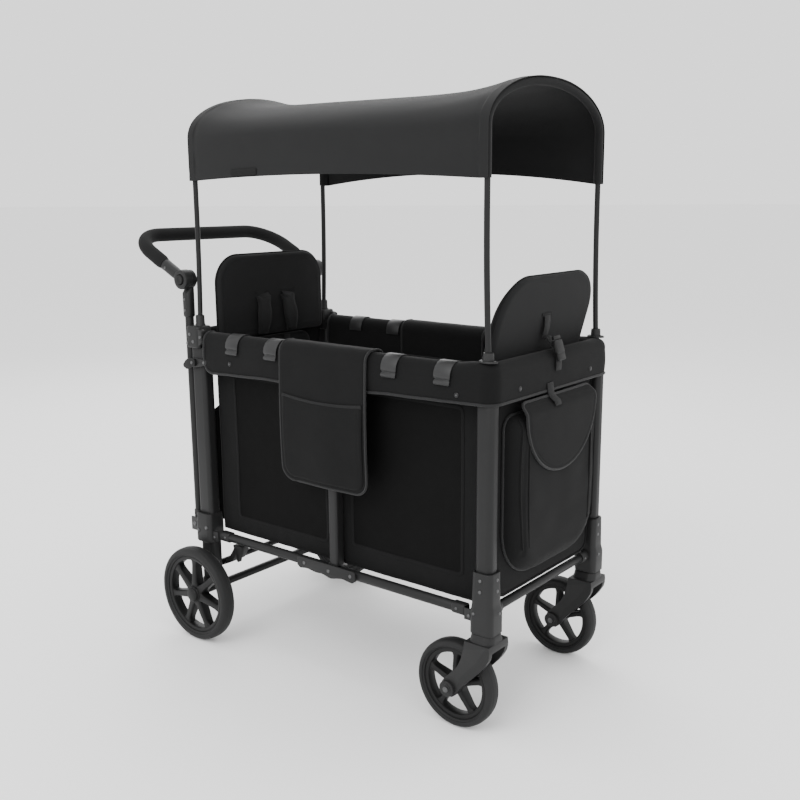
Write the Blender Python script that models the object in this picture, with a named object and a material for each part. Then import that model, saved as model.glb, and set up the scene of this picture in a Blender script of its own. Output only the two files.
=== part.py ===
"""Folding two-seat pull wagon: frame, fabric tub, canopy, reclining pull handle, casters.

Metres, +Z up.  +X is the caster end, -X the handle end.  Lengths below are measured
from the mid plane between the corner posts; the root empty then moves the whole wagon
by X_SHIFT so that the origin is at the bottom centre of its box.
"""
import math

import bmesh
import bpy
from mathutils import Matrix, Vector

for old in list(bpy.data.objects):
    bpy.data.objects.remove(old, do_unlink=True)

# ------------------------------------------------------------------ driving dimensions
X_SHIFT = 0.1058          # wagon centre to box centre
POST_X = 0.4443           # corner posts, half spacing along the wagon
POST_Y = 0.2275           # corner posts, half spacing across it
POST_W, POST_D = 0.0425, 0.035
PIVOT_X = 0.410           # rail pivots at both ends
LOW_Z = 0.276             # lower side rails
TOP_Z = 0.804             # upper side rails
LOW_R, TOP_R = 0.0117, 0.0125
FOLD_DEG = 55.0
RIM_Z = 0.830             # top of the padded rim
RIM_LOW = 0.733           # its lower edge
RIM_Y = 0.253
FRONT_R, FRONT_W = 0.1016, 0.038
FRONT_AXLE = (0.3685, 0.224)
REAR_R, REAR_W = 0.126, 0.040
REAR_AXLE_X, REAR_WHEEL_Y = -0.4425, 0.281
AXLE_R = 0.0075
POLE_R, BORE_R = 0.00635, 0.0076
POLE_FOOT = 0.62
ARCH_Z, ARCH_H = 1.297, 0.097
CANOPY_EDGE = 1.194
HANDLE_X = -0.486
HUB_Z, HUB_R = 0.951, 0.025
GRIP_DEG = 27.0
GRIP_REACH, GRIP_BEND = 0.229, 0.090
GAP = 0.0005

# ------------------------------------------------------------------ materials
COLOURS = {
    "frame_tube": ((0.045, 0.045, 0.048), 0.38, 0.6),
    "plastic": ((0.030, 0.030, 0.032), 0.5, 0.0),
    "fabric": ((0.018, 0.018, 0.019), 0.9, 0.0),
    "canopy_fabric": ((0.036, 0.036, 0.038), 0.9, 0.0),
    "tyre": ((0.045, 0.045, 0.046), 0.8, 0.0),
    "foam": ((0.020, 0.020, 0.021), 0.85, 0.0),
    "pole": ((0.05, 0.05, 0.052), 0.35, 0.8),
}


def material(kind):
    found = bpy.data.materials.get(kind)
    if found:
        return found
    m = bpy.data.materials.new(kind)
    m.use_nodes = True
    colour, rough, metal = COLOURS[kind]
    b = m.node_tree.nodes["Principled BSDF"]
    b.inputs["Base Color"].default_value = (*colour, 1)
    b.inputs["Roughness"].default_value = rough
    b.inputs["Metallic"].default_value = metal
    return m


root = bpy.data.objects.new("wagon_root", None)
bpy.context.collection.objects.link(root)
root.location = (X_SHIFT, 0, 0)


def pivot(name, at):
    """An empty on a joint's axis, which the moving pieces hang from."""
    e = bpy.data.objects.new(name, None)
    bpy.context.collection.objects.link(e)
    e.parent = root
    e.location = at
    return e


def facing_out(bm):
    bmesh.ops.recalc_face_normals(bm, faces=bm.faces)
    if bm.calc_volume(signed=True) < 0:
        bmesh.ops.reverse_faces(bm, faces=bm.faces)


def node(name, bm, kind, parent=None, smooth=35):
    facing_out(bm)
    mesh = bpy.data.meshes.new(name)
    bm.to_mesh(mesh)
    bm.free()
    parent = parent or root
    at = Vector((0, 0, 0)) if parent is root else Vector(parent.location)
    mesh.transform(Matrix.Translation(-at))
    mesh.shade_smooth()
    mesh.set_sharp_from_angle(angle=math.radians(smooth))
    mesh.materials.append(material(kind))
    obj = bpy.data.objects.new(name, mesh)
    bpy.context.collection.objects.link(obj)
    obj.parent = parent
    return obj


# ------------------------------------------------------------------ outlines
def rrect(cx, cy, w, h, r, n=4):
    pts = []
    for k, (sx, sy) in enumerate(((1, 1), (-1, 1), (-1, -1), (1, -1))):
        for i in range(n):
            a = math.radians(90 * k + 90 * i / (n - 1))
            pts.append((cx + sx * (w / 2 - r) + r * math.cos(a),
                        cy + sy * (h / 2 - r) + r * math.sin(a)))
    return pts


def circle(cx, cy, r, n=16, a0=0.0):
    return [(cx + r * math.cos(a0 + 2 * math.pi * i / n),
             cy + r * math.sin(a0 + 2 * math.pi * i / n)) for i in range(n)]


def place(axis, p, q, a):
    """A point of an outline drawn across an axis: x -> (y, z), y -> (x, z), z -> (x, y)."""
    return {"x": (a, p, q), "y": (p, a, q), "z": (p, q, a)}[axis]


def prism(outline, axis, a0, a1, bm=None):
    bm = bm or bmesh.new()
    low = [bm.verts.new(place(axis, p, q, a0)) for p, q in outline]
    high = [bm.verts.new(place(axis, p, q, a1)) for p, q in outline]
    n = len(outline)
    bm.faces.new(low)
    bm.faces.new(high)
    for i in range(n):
        bm.faces.new((low[i], low[(i + 1) % n], high[(i + 1) % n], high[i]))
    facing_out(bm)
    return bm


def box(x0, x1, y0, y1, z0, z1):
    return prism([(x0, y0), (x1, y0), (x1, y1), (x0, y1)], "z", z0, z1)


def ring_prism(outer, centre, r_in, axis, a0, a1):
    """An outline with a round hole through it."""
    bm = bmesh.new()
    loops = []
    for a in (a0, a1):
        out = [bm.verts.new(place(axis, p, q, a)) for p, q in outer]
        inn = []
        for p, q in outer:
            t = math.atan2(q - centre[1], p - centre[0])
            inn.append(bm.verts.new(place(
                axis, centre[0] + r_in * math.cos(t), centre[1] + r_in * math.sin(t), a)))
        loops.append((out, inn))
    n = len(outer)
    (o0, i0), (o1, i1) = loops
    for i in range(n):
        j = (i + 1) % n
        bm.faces.new((o0[i], o0[j], o1[j], o1[i]))
        bm.faces.new((i0[i], i0[j], i1[j], i1[i]))
        bm.faces.new((o0[i], o0[j], i0[j], i0[i]))
        bm.faces.new((o1[i], o1[j], i1[j], i1[i]))
    facing_out(bm)
    return bm


def revolve(profile, centre, n=32):
    """A closed outline (radius, y offset) turned about a line along Y through centre (x, y, z)."""
    bm = bmesh.new()
    cx, cy, cz = centre
    rings = []
    for i in range(n):
        a = 2 * math.pi * i / n
        rings.append([bm.verts.new((cx + r * math.cos(a), cy + y, cz + r * math.sin(a)))
                      for r, y in profile])
    m = len(profile)
    for i in range(n):
        for k in range(m):
            bm.faces.new((rings[i][k], rings[i][(k + 1) % m],
                          rings[(i + 1) % n][(k + 1) % m], rings[(i + 1) % n][k]))
    facing_out(bm)
    return bm


def sweep(path, r, n=12, r_in=None):
    """A round tube along a path, with flat ends; hollow right through if r_in is given."""
    path = [Vector(p) for p in path]
    bm = bmesh.new()
    up = None
    rings = []
    for i, p in enumerate(path):
        a = path[max(i - 1, 0)]
        b = path[min(i + 1, len(path) - 1)]
        t = (b - a).normalized()
        if up is None:
            up = Vector((0, 0, 1)) if abs(t.z) < 0.9 else Vector((1, 0, 0))
        side = t.cross(up).normalized()
        up = side.cross(t).normalized()
        ring = []
        for radius in ([r] if r_in is None else [r, r_in]):
            ring.append([bm.verts.new(p + radius * (math.cos(2 * math.pi * k / n) * side
                                                    + math.sin(2 * math.pi * k / n) * up))
                         for k in range(n)])
        rings.append(ring)
    for layer in range(len(rings[0])):
        for i in range(len(rings) - 1):
            for k in range(n):
                bm.faces.new((rings[i][layer][k], rings[i][layer][(k + 1) % n],
                              rings[i + 1][layer][(k + 1) % n], rings[i + 1][layer][k]))
    for end in (rings[0], rings[-1]):
        if r_in is None:
            bm.faces.new(end[0])
        else:
            for k in range(n):
                bm.faces.new((end[0][k], end[0][(k + 1) % n],
                              end[1][(k + 1) % n], end[1][k]))
    facing_out(bm)
    return bm


def loft(sections):
    bm = bmesh.new()
    rows = [[bm.verts.new(p) for p in s] for s in sections]
    n = len(rows[0])
    for a, b in zip(rows, rows[1:]):
        for k in range(n):
            bm.faces.new((a[k], a[(k + 1) % n], b[(k + 1) % n], b[k]))
    bm.faces.new(rows[0])
    bm.faces.new(rows[-1])
    facing_out(bm)
    return bm


def combined(first, *others):
    """Boolean of bmeshes: ('+', bm) joins and ('-', bm) cuts."""
    def as_object(bm):
        facing_out(bm)
        mesh = bpy.data.meshes.new("tmp")
        bm.to_mesh(mesh)
        bm.free()
        o = bpy.data.objects.new("tmp", mesh)
        bpy.context.collection.objects.link(o)
        return o

    base = as_object(first)
    helpers = []
    for sign, bm in others:
        o = as_object(bm)
        helpers.append(o)
        mod = base.modifiers.new("b", "BOOLEAN")
        mod.operation = "UNION" if sign == "+" else "DIFFERENCE"
        mod.solver = "EXACT"
        mod.object = o
    graph = bpy.context.evaluated_depsgraph_get()
    mesh = bpy.data.meshes.new_from_object(base.evaluated_get(graph))
    out = bmesh.new()
    out.from_mesh(mesh)
    for o in [base] + helpers:
        bpy.data.objects.remove(o, do_unlink=True)
    bmesh.ops.remove_doubles(out, verts=out.verts, dist=1e-6)
    return out


def mirrored(points, s):
    return [(x, s * y, z) for x, y, z in points]


SIDES = (("left", 1), ("right", -1))      # left is +Y when facing the caster end

# ------------------------------------------------------------------ joint empties
e_upper_rear = pivot("pivot_upper_rear", (-PIVOT_X, 0, TOP_Z))
e_upper_front = pivot("pivot_upper_centre", (0, 0, TOP_Z))
e_front = pivot("pivot_upper_front", (PIVOT_X, 0, TOP_Z))
e_lower_rear = pivot("pivot_lower_rear", (-PIVOT_X, 0, LOW_Z))
e_lower_front = pivot("pivot_lower_centre", (0, 0, LOW_Z))
e_handle = pivot("pivot_handle", (HANDLE_X, 0, 0.300))
e_grip = pivot("pivot_grip", (HANDLE_X, 0, HUB_Z))
e_brake = pivot("pivot_brake", (REAR_AXLE_X, 0, 0.187))
e_rear_seat = pivot("pivot_rear_seat", (-0.4185, 0, 0.486))
e_front_seat = pivot("pivot_front_seat", (0.4185, 0, 0.486))
e_rear_back = pivot("pivot_rear_backrest", (-0.411, 0, 0.790))
e_front_back = pivot("pivot_front_backrest", (0.389, 0, 0.790))
e_rear_arch = pivot("slide_rear_arch", (-POST_X, 0, RIM_Z))
e_front_arch = pivot("slide_front_arch", (POST_X, 0, RIM_Z))

# ------------------------------------------------------------------ rear end frame
for side, s in SIDES:
    y = s * POST_Y
    cx = -0.4425
    post = rrect(cx, y, POST_W + 0.0065, POST_D, 0.011)
    node(f"rear_post_{side}",
         combined(prism(post, "z", REAR_R + AXLE_R + 0.001, 0.7795),
                  ("-", prism(circle(-POST_X, y, BORE_R), "z", 0.10, 0.80))),
         "frame_tube")

    # collar with the ears of the lower rail pivot and of the handle pivot
    hole = rrect(cx, y, POST_W + 0.0065 + 0.0008, POST_D + 0.0008, 0.0114)
    body = prism(rrect(-0.4448, y, 0.0585, 0.055, 0.012), "z", 0.260, 0.338)
    ear = box(-0.430, -0.398, *sorted((s * 0.2396, s * 0.2430)), 0.266, 0.292)
    foot = box(-0.500, -0.466, *sorted((s * 0.2400, s * 0.2445)), 0.282, 0.318)
    node(f"rear_collar_{side}",
         combined(body, ("+", ear), ("+", foot),
                  ("-", prism(hole, "z", 0.25, 0.35))), "plastic")

    # corner block: caps the post, carries the upper rail pivot and the pole socket
    block = prism(rrect(-0.4488, s * 0.229, 0.0475, 0.048, 0.010), "z", 0.7800, 0.8350)
    ear = box(-0.430, -0.395, *sorted((s * 0.2415, s * 0.2445)), 0.793, 0.8155)
    ferrule = prism(circle(-POST_X, y, 0.0115), "z", 0.83, 0.862)
    node(f"rear_corner_block_{side}",
         combined(block, ("+", ear), ("+", ferrule),
                  ("-", prism(circle(-POST_X, y, BORE_R), "z", 0.77, 0.87))), "plastic")

node("rear_axle", prism(circle(REAR_AXLE_X, REAR_R, AXLE_R), "y", -0.3005, 0.3005), "frame_tube")

node("rear_end_panel",
     combined(box(-0.4500, -0.4462, -0.2000, 0.2000, 0.300, 0.612),
              ("+", box(-0.4500, -0.4462, -0.1550, 0.1550, 0.610, 0.790)),
              ("+", prism(rrect(-0.4575, 0.7775, 0.030, 0.105, 0.010), "y", -0.2035, 0.2035)),
              ("+", prism(rrect(0, 0.452, 0.34, 0.240, 0.03), "x", -0.4730, -0.4490)),
              ("+", prism(rrect(0, 0.643, 0.31, 0.286, 0.03), "x", -0.4470, -0.4200))),
     "fabric")

# ------------------------------------------------------------------ front end frame
for side, s in SIDES:
    y = s * POST_Y
    post = rrect(POST_X, y, POST_W, POST_D, 0.011)
    node(f"front_post_{side}",
         combined(prism(post, "z", 0.3060, RIM_LOW - GAP),
                  ("-", prism(circle(POST_X, y, BORE_R), "z", 0.28, 0.75))),
         "frame_tube", e_front)

    hole = rrect(POST_X, y, POST_W + 0.0008, POST_D + 0.0008, 0.0114)
    low = loft([[(*p, z) for p in rrect(POST_X + dx, y, w, d, 0.014)] for z, dx, w, d in (
        (0.2435, 0.0012, 0.0590, 0.0535), (0.285, 0.0012, 0.0590, 0.0535),
        (0.315, 0.0005, 0.0530, 0.0480), (0.3815, 0.0005, 0.0510, 0.0450))])
    ear = box(0.398, 0.430, *sorted((s * 0.2396, s * 0.2430)), 0.266, 0.292)
    node(f"front_collar_{side}",
         combined(low, ("+", ear), ("-", prism(hole, "z", 0.3055, 0.40))),
         "plastic", e_front)

node("front_lower_crossbar",
     prism(circle(POST_X, 0.286, 0.010, 12), "y", -0.1955, 0.1955), "frame_tube", e_front)

node("front_end_panel",
     combined(box(0.4462, 0.4500, -0.2000, 0.2000, 0.300, 0.735),
              ("+", prism(rrect(0.4505, 0, 0.045, 2 * RIM_Y, 0.015), "z", RIM_LOW, RIM_Z)),
              ("+", prism(rrect(0, 0.523, 0.36, 0.362, 0.05), "x", 0.4490, 0.4965)),
              ("+", prism(rrect(0, 0.643, 0.39, 0.286, 0.03), "x", 0.4200, 0.4470)),
              ("-", prism(circle(POST_X, POST_Y, BORE_R), "z", 0.70, 0.85)),
              ("-", prism(circle(POST_X, -POST_Y, BORE_R), "z", 0.70, 0.85))),
     "fabric", e_front)

# ------------------------------------------------------------------ side rails and floor
for side, s in SIDES:
    y = s * POST_Y
    node(f"upper_rail_rear_{side}",
         prism(circle(y, TOP_Z, TOP_R, 14), "x", -0.398, -0.019), "frame_tube", e_upper_rear)
    node(f"upper_rail_front_{side}",
         prism(circle(y, TOP_Z, TOP_R, 14), "x", 0.019, 0.398), "frame_tube", e_upper_front)
    node(f"lower_rail_rear_{side}",
         prism(circle(y, LOW_Z + 0.005, LOW_R, 12), "x", -0.3945, -0.0160), "frame_tube", e_lower_rear)
    node(f"lower_rail_front_{side}",
         prism(circle(y, LOW_Z + 0.005, LOW_R, 12), "x", 0.0160, 0.3945), "frame_tube", e_lower_front)

    # padded rim: an upside-down channel over the rail
    t = 0.0035
    yo, yi = RIM_Y, 0.2020
    top = 0.8225
    profile = [(s * yo, RIM_LOW), (s * yo, top - 0.008), (s * (yo - 0.008), top),
               (s * (yi + 0.008), top), (s * yi, top - 0.008), (s * yi, RIM_LOW),
               (s * (yi + t), RIM_LOW), (s * (yi + t), top - t - 0.002),
               (s * (yo - t), top - t - 0.002), (s * (yo - t), RIM_LOW)]
    node(f"rim_cover_{side}", prism(profile, "x", -0.405, 0.4255), "fabric", e_upper_rear)

    # centre post with the hinge plate that joins both lower rails
    post = box(-0.0005, 0.0265, *sorted((s * 0.2140, s * 0.2410)), 0.2995, 0.7220)
    plate = prism([(-0.104, 0.272), (-0.098, 0.266), (-0.070, 0.268), (-0.045, 0.265),
                   (-0.012, 0.262), (0.012, 0.263), (0.035, 0.267), (0.074, 0.266),
                   (0.081, 0.272), (0.081, 0.2955), (0.0262, 0.2955), (0.0262, 0.335),
                   (-0.0002, 0.335), (-0.0002, 0.2955), (-0.104, 0.2955)],
                  "y", *sorted((s * 0.2395, s * 0.2435)))
    node(f"centre_post_{side}", combined(post, ("+", plate)), "frame_tube", e_lower_front)

    # organiser flap that hangs over the rim at mid length
    t, y0, y1 = 0.004, 0.2575, 0.1930
    flap = [(s * (y0 + t), 0.495), (s * (y0 + t), 0.8290), (s * y1, 0.8290),
            (s * y1, 0.737), (s * (y1 + t), 0.737), (s * (y1 + t), 0.8250),
            (s * y0, 0.8250), (s * y0, 0.495)]
    node(f"rim_flap_{side}", prism(flap, "x", -0.125, 0.140), "fabric", e_lower_front)

    # side fabric: each half hangs from its own end frame, and they pass each other in the fold
    node(f"side_wall_rear_{side}",
         box(-0.4130, 0.0120, *sorted((s * 0.2015, s * 0.2045)), 0.295, 0.7220), "fabric")
    node(f"side_wall_front_{side}",
         box(-0.0020, 0.4130, *sorted((s * 0.2058, s * 0.2088)), 0.295, 0.7220),
         "fabric", e_front)

node("floor_rear", box(-0.380, -0.020, -0.198, 0.198, 0.289, 0.297), "fabric", e_lower_rear)
node("floor_front", box(0.020, 0.380, -0.198, 0.198, 0.289, 0.297), "fabric", e_lower_front)

# ------------------------------------------------------------------ seats and backrests
node("rear_seat", prism(rrect(-0.3035, 0, 0.227, 0.380, 0.03), "z", 0.450, 0.485),
     "fabric", e_rear_seat)
node("front_seat", prism(rrect(0.3035, 0, 0.227, 0.380, 0.03), "z", 0.450, 0.485),
     "fabric", e_front_seat)


def backrest_outline(half, top, top_half, z0, z1, r):
    """Half width, flat top half width and corner radius, as (y, z)."""
    pts = [(-half, z0), (half, z0)]
    for i in range(7):
        a = math.radians(90 * i / 6)
        pts.append((half - r + r * math.cos(a), z1 - r + r * math.sin(a)))
    for i in range(7):
        a = math.radians(90 + 90 * i / 6)
        pts.append((-half + r + r * math.cos(a), z1 - r + r * math.sin(a)))
    return pts


rear_back = backrest_outline(0.197, 1.012, 0.127, 0.790, 1.012, 0.070)
node("rear_backrest", prism(rear_back, "x", -0.441, -0.411), "fabric", e_rear_back)
front_back = backrest_outline(0.197, 0.998, 0.10, 0.790, 0.998, 0.095)
LEAN = 0.23
node("front_backrest",
     loft([[(x + LEAN * (z - 0.790), y, z) for y, z in front_back] for x in (0.389, 0.4162)]),
     "fabric", e_front_back)

# ------------------------------------------------------------------ handle
for side, s in SIDES:
    y = s * POST_Y
    tube = prism(circle(HANDLE_X, y, 0.011, 14), "z", 0.2995, 0.915)
    neck = box(-0.4945, -0.4775, *sorted((s * 0.2168, s * 0.2265)), 0.90, 0.945)
    cheek = prism(circle(HANDLE_X, HUB_Z, 0.0235, 20), "y", *sorted((s * 0.2168, s * 0.2265)))
    node(f"handle_upright_{side}", combined(tube, ("+", neck), ("+", cheek)),
         "frame_tube", e_handle)

ga = math.radians(GRIP_DEG)


def on_grip(reach, y):
    return (HANDLE_X - reach * math.cos(ga), y, HUB_Z + reach * math.sin(ga))


def grip_path(start, half=0.240, steps=8):
    pts = [on_grip(start, -half)]
    straight = GRIP_REACH - GRIP_BEND
    for k in range(1, 4):
        pts.append(on_grip(start + (straight - start) * k / 3, -half))
    for i in range(1, steps + 1):
        a = math.radians(90 * i / steps)
        pts.append(on_grip(straight + GRIP_BEND * math.sin(a),
                           -half + GRIP_BEND * (1 - math.cos(a))))
    return pts + [(x, -y, z) for x, y, z in reversed(pts)]


hubs = []
for side, s in SIDES:
    back = prism(circle(HANDLE_X, HUB_Z, HUB_R, 24), "y", *sorted((s * 0.2280, s * 0.2450)))
    face = ring_prism(circle(HANDLE_X, HUB_Z, HUB_R, 24), (HANDLE_X, HUB_Z), 0.0125, "y",
                      *sorted((s * 0.2448, s * 0.2525)))
    hubs += [("+", back), ("+", face)]
node("grip_tube", combined(sweep(grip_path(0.0150), 0.0118), *hubs), "frame_tube", e_grip)
node("foam_grip", sweep(grip_path(0.078), 0.0180, 12, 0.0128), "foam", e_grip)
for side, s in SIDES:
    at = pivot(f"slide_button_{side}", (HANDLE_X, s * 0.25, HUB_Z))
    node(f"hub_button_{side}",
         prism(circle(HANDLE_X, HUB_Z, 0.0118, 20), "y", *sorted((s * 0.2478, s * 0.2555))),
         "plastic", at)
    at = pivot(f"pivot_latch_{side}", (-0.447, s * 0.257, 0.743))
    node(f"latch_lever_{side}",
         prism([(-0.436, 0.7525), (-0.462, 0.7525), (-0.472, 0.7475), (-0.4825, 0.7345),
                (-0.4795, 0.7285), (-0.468, 0.7235), (-0.452, 0.7305), (-0.436, 0.7335)],
               "y", *sorted((s * 0.2545, s * 0.2600))), "plastic", at)

# ------------------------------------------------------------------ brake
bar = prism(circle(REAR_AXLE_X, 0.187, 0.008, 14), "y", -0.2090, 0.2090)
pedal = prism([(-0.4400, 0.184), (-0.405, 0.212), (-0.384, 0.243), (-0.378, 0.248),
               (-0.372, 0.243), (-0.378, 0.228), (-0.395, 0.200), (-0.4400, 0.178)],
              "y", -0.2000, -0.1560)
node("brake_bar", combined(bar, ("+", pedal)), "frame_tube", e_brake)


# ------------------------------------------------------------------ wheels
def tyre_profile(r, w, depth):
    h = w / 2
    return [(r - depth, -h * 0.72), (r - depth * 0.55, -h), (r - depth * 0.22, -h * 0.92),
            (r - 0.0015, -h * 0.45), (r, 0), (r - 0.0015, h * 0.45),
            (r - depth * 0.22, h * 0.92), (r - depth * 0.55, h), (r - depth, h * 0.72)]


def rim(centre, r, w, spokes, bore, hub_r, a0):
    x, y, z = centre
    band = revolve([(r - 0.010, -w * 0.36), (r, -w * 0.36), (r, w * 0.36), (r - 0.010, w * 0.36)],
                   centre, 32)
    hub = revolve([(bore, -w / 2), (hub_r, -w / 2), (hub_r, w / 2), (bore, w / 2)], centre, 20)
    parts = [("+", hub)]
    for k in range(spokes):
        a = a0 + 2 * math.pi * k / spokes
        d = Vector((math.cos(a), math.sin(a)))
        nrm = Vector((-math.sin(a), math.cos(a)))
        r0, r1 = hub_r * 0.75, r - 0.004
        w0, w1 = hub_r * 0.52, hub_r * 0.34
        c = Vector((x, z))
        outline = [c + d * r0 + nrm * w0, c + d * r0 - nrm * w0,
                   c + d * r1 - nrm * w1, c + d * r1 + nrm * w1]
        parts.append(("+", prism([tuple(p) for p in outline], "y", y - w * 0.26, y + w * 0.26)))
    return combined(band, *parts)


fx, fy = FRONT_AXLE
for side, s in SIDES:
    y = s * fy
    swivel = pivot(f"swivel_{side}", (POST_X, y, 0.243))
    spin = pivot(f"front_spin_{side}", (fx, y, FRONT_R))
    leg = [(0.4155, 0.2425), (0.4700, 0.2425), (0.4755, 0.2250), (0.4765, 0.2050),
           (0.4690, 0.1850), (0.4540, 0.1640), (0.4300, 0.1390), (0.4000, 0.1090),
           (0.3885, 0.0905), (0.3800, 0.0835), (0.3685, 0.0810), (0.3570, 0.0845),
           (0.3500, 0.0930), (0.3485, 0.1040), (0.3530, 0.1150), (0.3685, 0.1330),
           (0.3900, 0.1560), (0.4020, 0.1800), (0.4095, 0.2080)]
    crown = [(0.4095, 0.2080), (0.4155, 0.2425), (0.4700, 0.2425), (0.4755, 0.2250),
             (0.4765, 0.2080)]
    a, b, t = y - 0.0395, y + 0.0395, 0.0150
    node(f"caster_fork_{side}",
         combined(prism(leg, "y", a, a + t), ("+", prism(leg, "y", b - t, b)),
                  ("+", prism(crown, "y", a + 0.002, b - 0.002)),
                  ("+", prism(circle(fx, FRONT_R, 0.0165, 20), "y", y - 0.0455, y - 0.0250)),
                  ("+", prism(circle(fx, FRONT_R, 0.0165, 20), "y", y + 0.0250, y + 0.0455)),
                  ("+", prism(circle(fx, FRONT_R, 0.0050, 14), "y", a + 0.001, b - 0.001))),
         "plastic", swivel)
    node(f"front_tyre_{side}",
         revolve([(r, y0) for r, y0 in tyre_profile(FRONT_R, FRONT_W, 0.0185)],
                 (fx, y, FRONT_R), 40), "tyre", spin)
    node(f"front_rim_{side}",
         rim((fx, y, FRONT_R), FRONT_R - 0.0185 - 0.0004, 0.034, 5, 0.0054, 0.017,
             math.radians(90)), "plastic", spin)

for side, s in SIDES:
    y = s * REAR_WHEEL_Y
    spin = pivot(f"rear_spin_{side}", (REAR_AXLE_X, y, REAR_R))
    node(f"rear_tyre_{side}",
         revolve(tyre_profile(REAR_R, REAR_W, 0.0220), (REAR_AXLE_X, y, REAR_R), 44),
         "tyre", spin)
    node(f"rear_rim_{side}",
         rim((REAR_AXLE_X, y, REAR_R), REAR_R - 0.0220 - 0.0004, 0.036, 7, AXLE_R + 0.0004,
             0.022, math.radians(90)), "plastic", spin)


# ------------------------------------------------------------------ canopy
def arch_path(x, grow=0.0, steps=14):
    half, top = POST_Y + grow, ARCH_H + grow
    pts = [(x, -half, POLE_FOOT)]
    for k in range(1, 4):
        pts.append((x, -half, POLE_FOOT + (ARCH_Z - POLE_FOOT) * k / 3))
    for i in range(1, 2 * steps):
        a = math.pi - math.pi * i / (2 * steps)
        pts.append((x, half * math.cos(a), ARCH_Z + top * math.sin(a)))
    for k in range(4):
        pts.append((x, half, ARCH_Z + (POLE_FOOT - ARCH_Z) * k / 3))
    return pts


node("rear_arch", sweep(arch_path(-POST_X), POLE_R, 10), "pole", e_rear_arch)
node("front_arch", sweep(arch_path(POST_X), POLE_R, 10), "pole", e_front_arch)


def canopy_section(x):
    """One closed outline across the canopy: outer skin over, inner skin back."""
    t = min(1.0, abs(x) / 0.430)
    drop = 0.025 * (1 - t ** 5)
    near, far = 1.196 + 0.012 * (1 - t * t), 1.187 + 0.028 * (1 - t * t)
    pts = []
    for grow in (0.0118, 0.0083):
        row = [(x, -(POST_Y + grow), near)]
        for i in range(0, 17):
            a = math.pi - math.pi * i / 16
            row.append((x, (POST_Y + grow) * math.cos(a),
                        ARCH_Z + (ARCH_H + grow - drop) * math.sin(a)))
        row.append((x, POST_Y + grow, far))
        pts += row if not pts else list(reversed(row))
    return pts


node("canopy", loft([canopy_section(x) for x in (-0.4515, -0.430, -0.405, -0.35, -0.2, 0, 0.2, 0.35, 0.405, 0.430, 0.4515)]),
     "canopy_fabric", e_rear_arch)
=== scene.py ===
"""Folding two-seat pull wagon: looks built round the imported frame."""
import math

import bmesh
import bpy
import numpy as np
from mathutils import Matrix, Vector, noise


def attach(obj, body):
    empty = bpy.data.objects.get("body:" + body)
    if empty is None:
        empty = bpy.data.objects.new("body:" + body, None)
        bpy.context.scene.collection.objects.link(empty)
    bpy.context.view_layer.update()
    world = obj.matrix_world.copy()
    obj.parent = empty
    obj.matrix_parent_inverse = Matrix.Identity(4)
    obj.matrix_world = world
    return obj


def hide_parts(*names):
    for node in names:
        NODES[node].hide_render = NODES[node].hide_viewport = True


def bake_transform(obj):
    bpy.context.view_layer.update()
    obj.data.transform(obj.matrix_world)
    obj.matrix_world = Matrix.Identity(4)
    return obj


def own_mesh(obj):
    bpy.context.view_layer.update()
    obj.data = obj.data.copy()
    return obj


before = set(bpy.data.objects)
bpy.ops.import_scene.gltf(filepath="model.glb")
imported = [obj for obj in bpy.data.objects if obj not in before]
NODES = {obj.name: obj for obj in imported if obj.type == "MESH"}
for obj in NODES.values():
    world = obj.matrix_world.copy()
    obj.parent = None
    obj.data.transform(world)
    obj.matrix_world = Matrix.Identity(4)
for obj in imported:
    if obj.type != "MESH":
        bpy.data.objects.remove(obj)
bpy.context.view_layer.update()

SHIFT = 0.1058
POST_X, POST_Y = 0.4443, 0.2275
TOP_Z, LOW_Z = 0.804, 0.276
RIM_Z, RIM_LOW = 0.830, 0.725
SIDES = (("left", 1), ("right", -1))


# ------------------------------------------------------------------ materials
def new_mat(name):
    m = bpy.data.materials.new(name)
    m.use_nodes = True
    nt = m.node_tree
    for n in list(nt.nodes):
        nt.nodes.remove(n)
    out = nt.nodes.new("ShaderNodeOutputMaterial")
    b = nt.nodes.new("ShaderNodeBsdfPrincipled")
    nt.links.new(b.outputs[0], out.inputs["Surface"])
    return m, nt, b


def math_node(nt, op, a, b=None, c=None):
    n = nt.nodes.new("ShaderNodeMath")
    n.operation = op
    for k, v in enumerate((a, b, c)):
        if v is None:
            continue
        if isinstance(v, (int, float)):
            n.inputs[k].default_value = v
        else:
            nt.links.new(v, n.inputs[k])
    return n.outputs[0]


def coords(nt):
    tc = nt.nodes.new("ShaderNodeTexCoord")
    sep = nt.nodes.new("ShaderNodeSeparateXYZ")
    nt.links.new(tc.outputs["Object"], sep.inputs[0])
    return tc.outputs["Object"], sep.outputs[0], sep.outputs[1], sep.outputs[2]


def noise_tex(nt, vec, scale, detail=3.0, rough=0.55):
    n = nt.nodes.new("ShaderNodeTexNoise")
    nt.links.new(vec, n.inputs["Vector"])
    n.inputs["Scale"].default_value = scale
    n.inputs["Detail"].default_value = detail
    n.inputs["Roughness"].default_value = rough
    return n.outputs[0]


def ramp_colour(nt, fac, lo, hi):
    mix = nt.nodes.new("ShaderNodeMix")
    mix.data_type = "RGBA"
    nt.links.new(fac, mix.inputs[0])
    mix.inputs[6].default_value = (*lo, 1)
    mix.inputs[7].default_value = (*hi, 1)
    return mix.outputs[2]


def bump(nt, b, height, strength, distance):
    n = nt.nodes.new("ShaderNodeBump")
    n.inputs["Strength"].default_value = strength
    n.inputs["Distance"].default_value = distance
    nt.links.new(height, n.inputs["Height"])
    nt.links.new(n.outputs[0], b.inputs["Normal"])


def grey(v, tint=0.0):
    return (v, v * (1 + tint * 0.3), v * (1 + tint))


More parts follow.
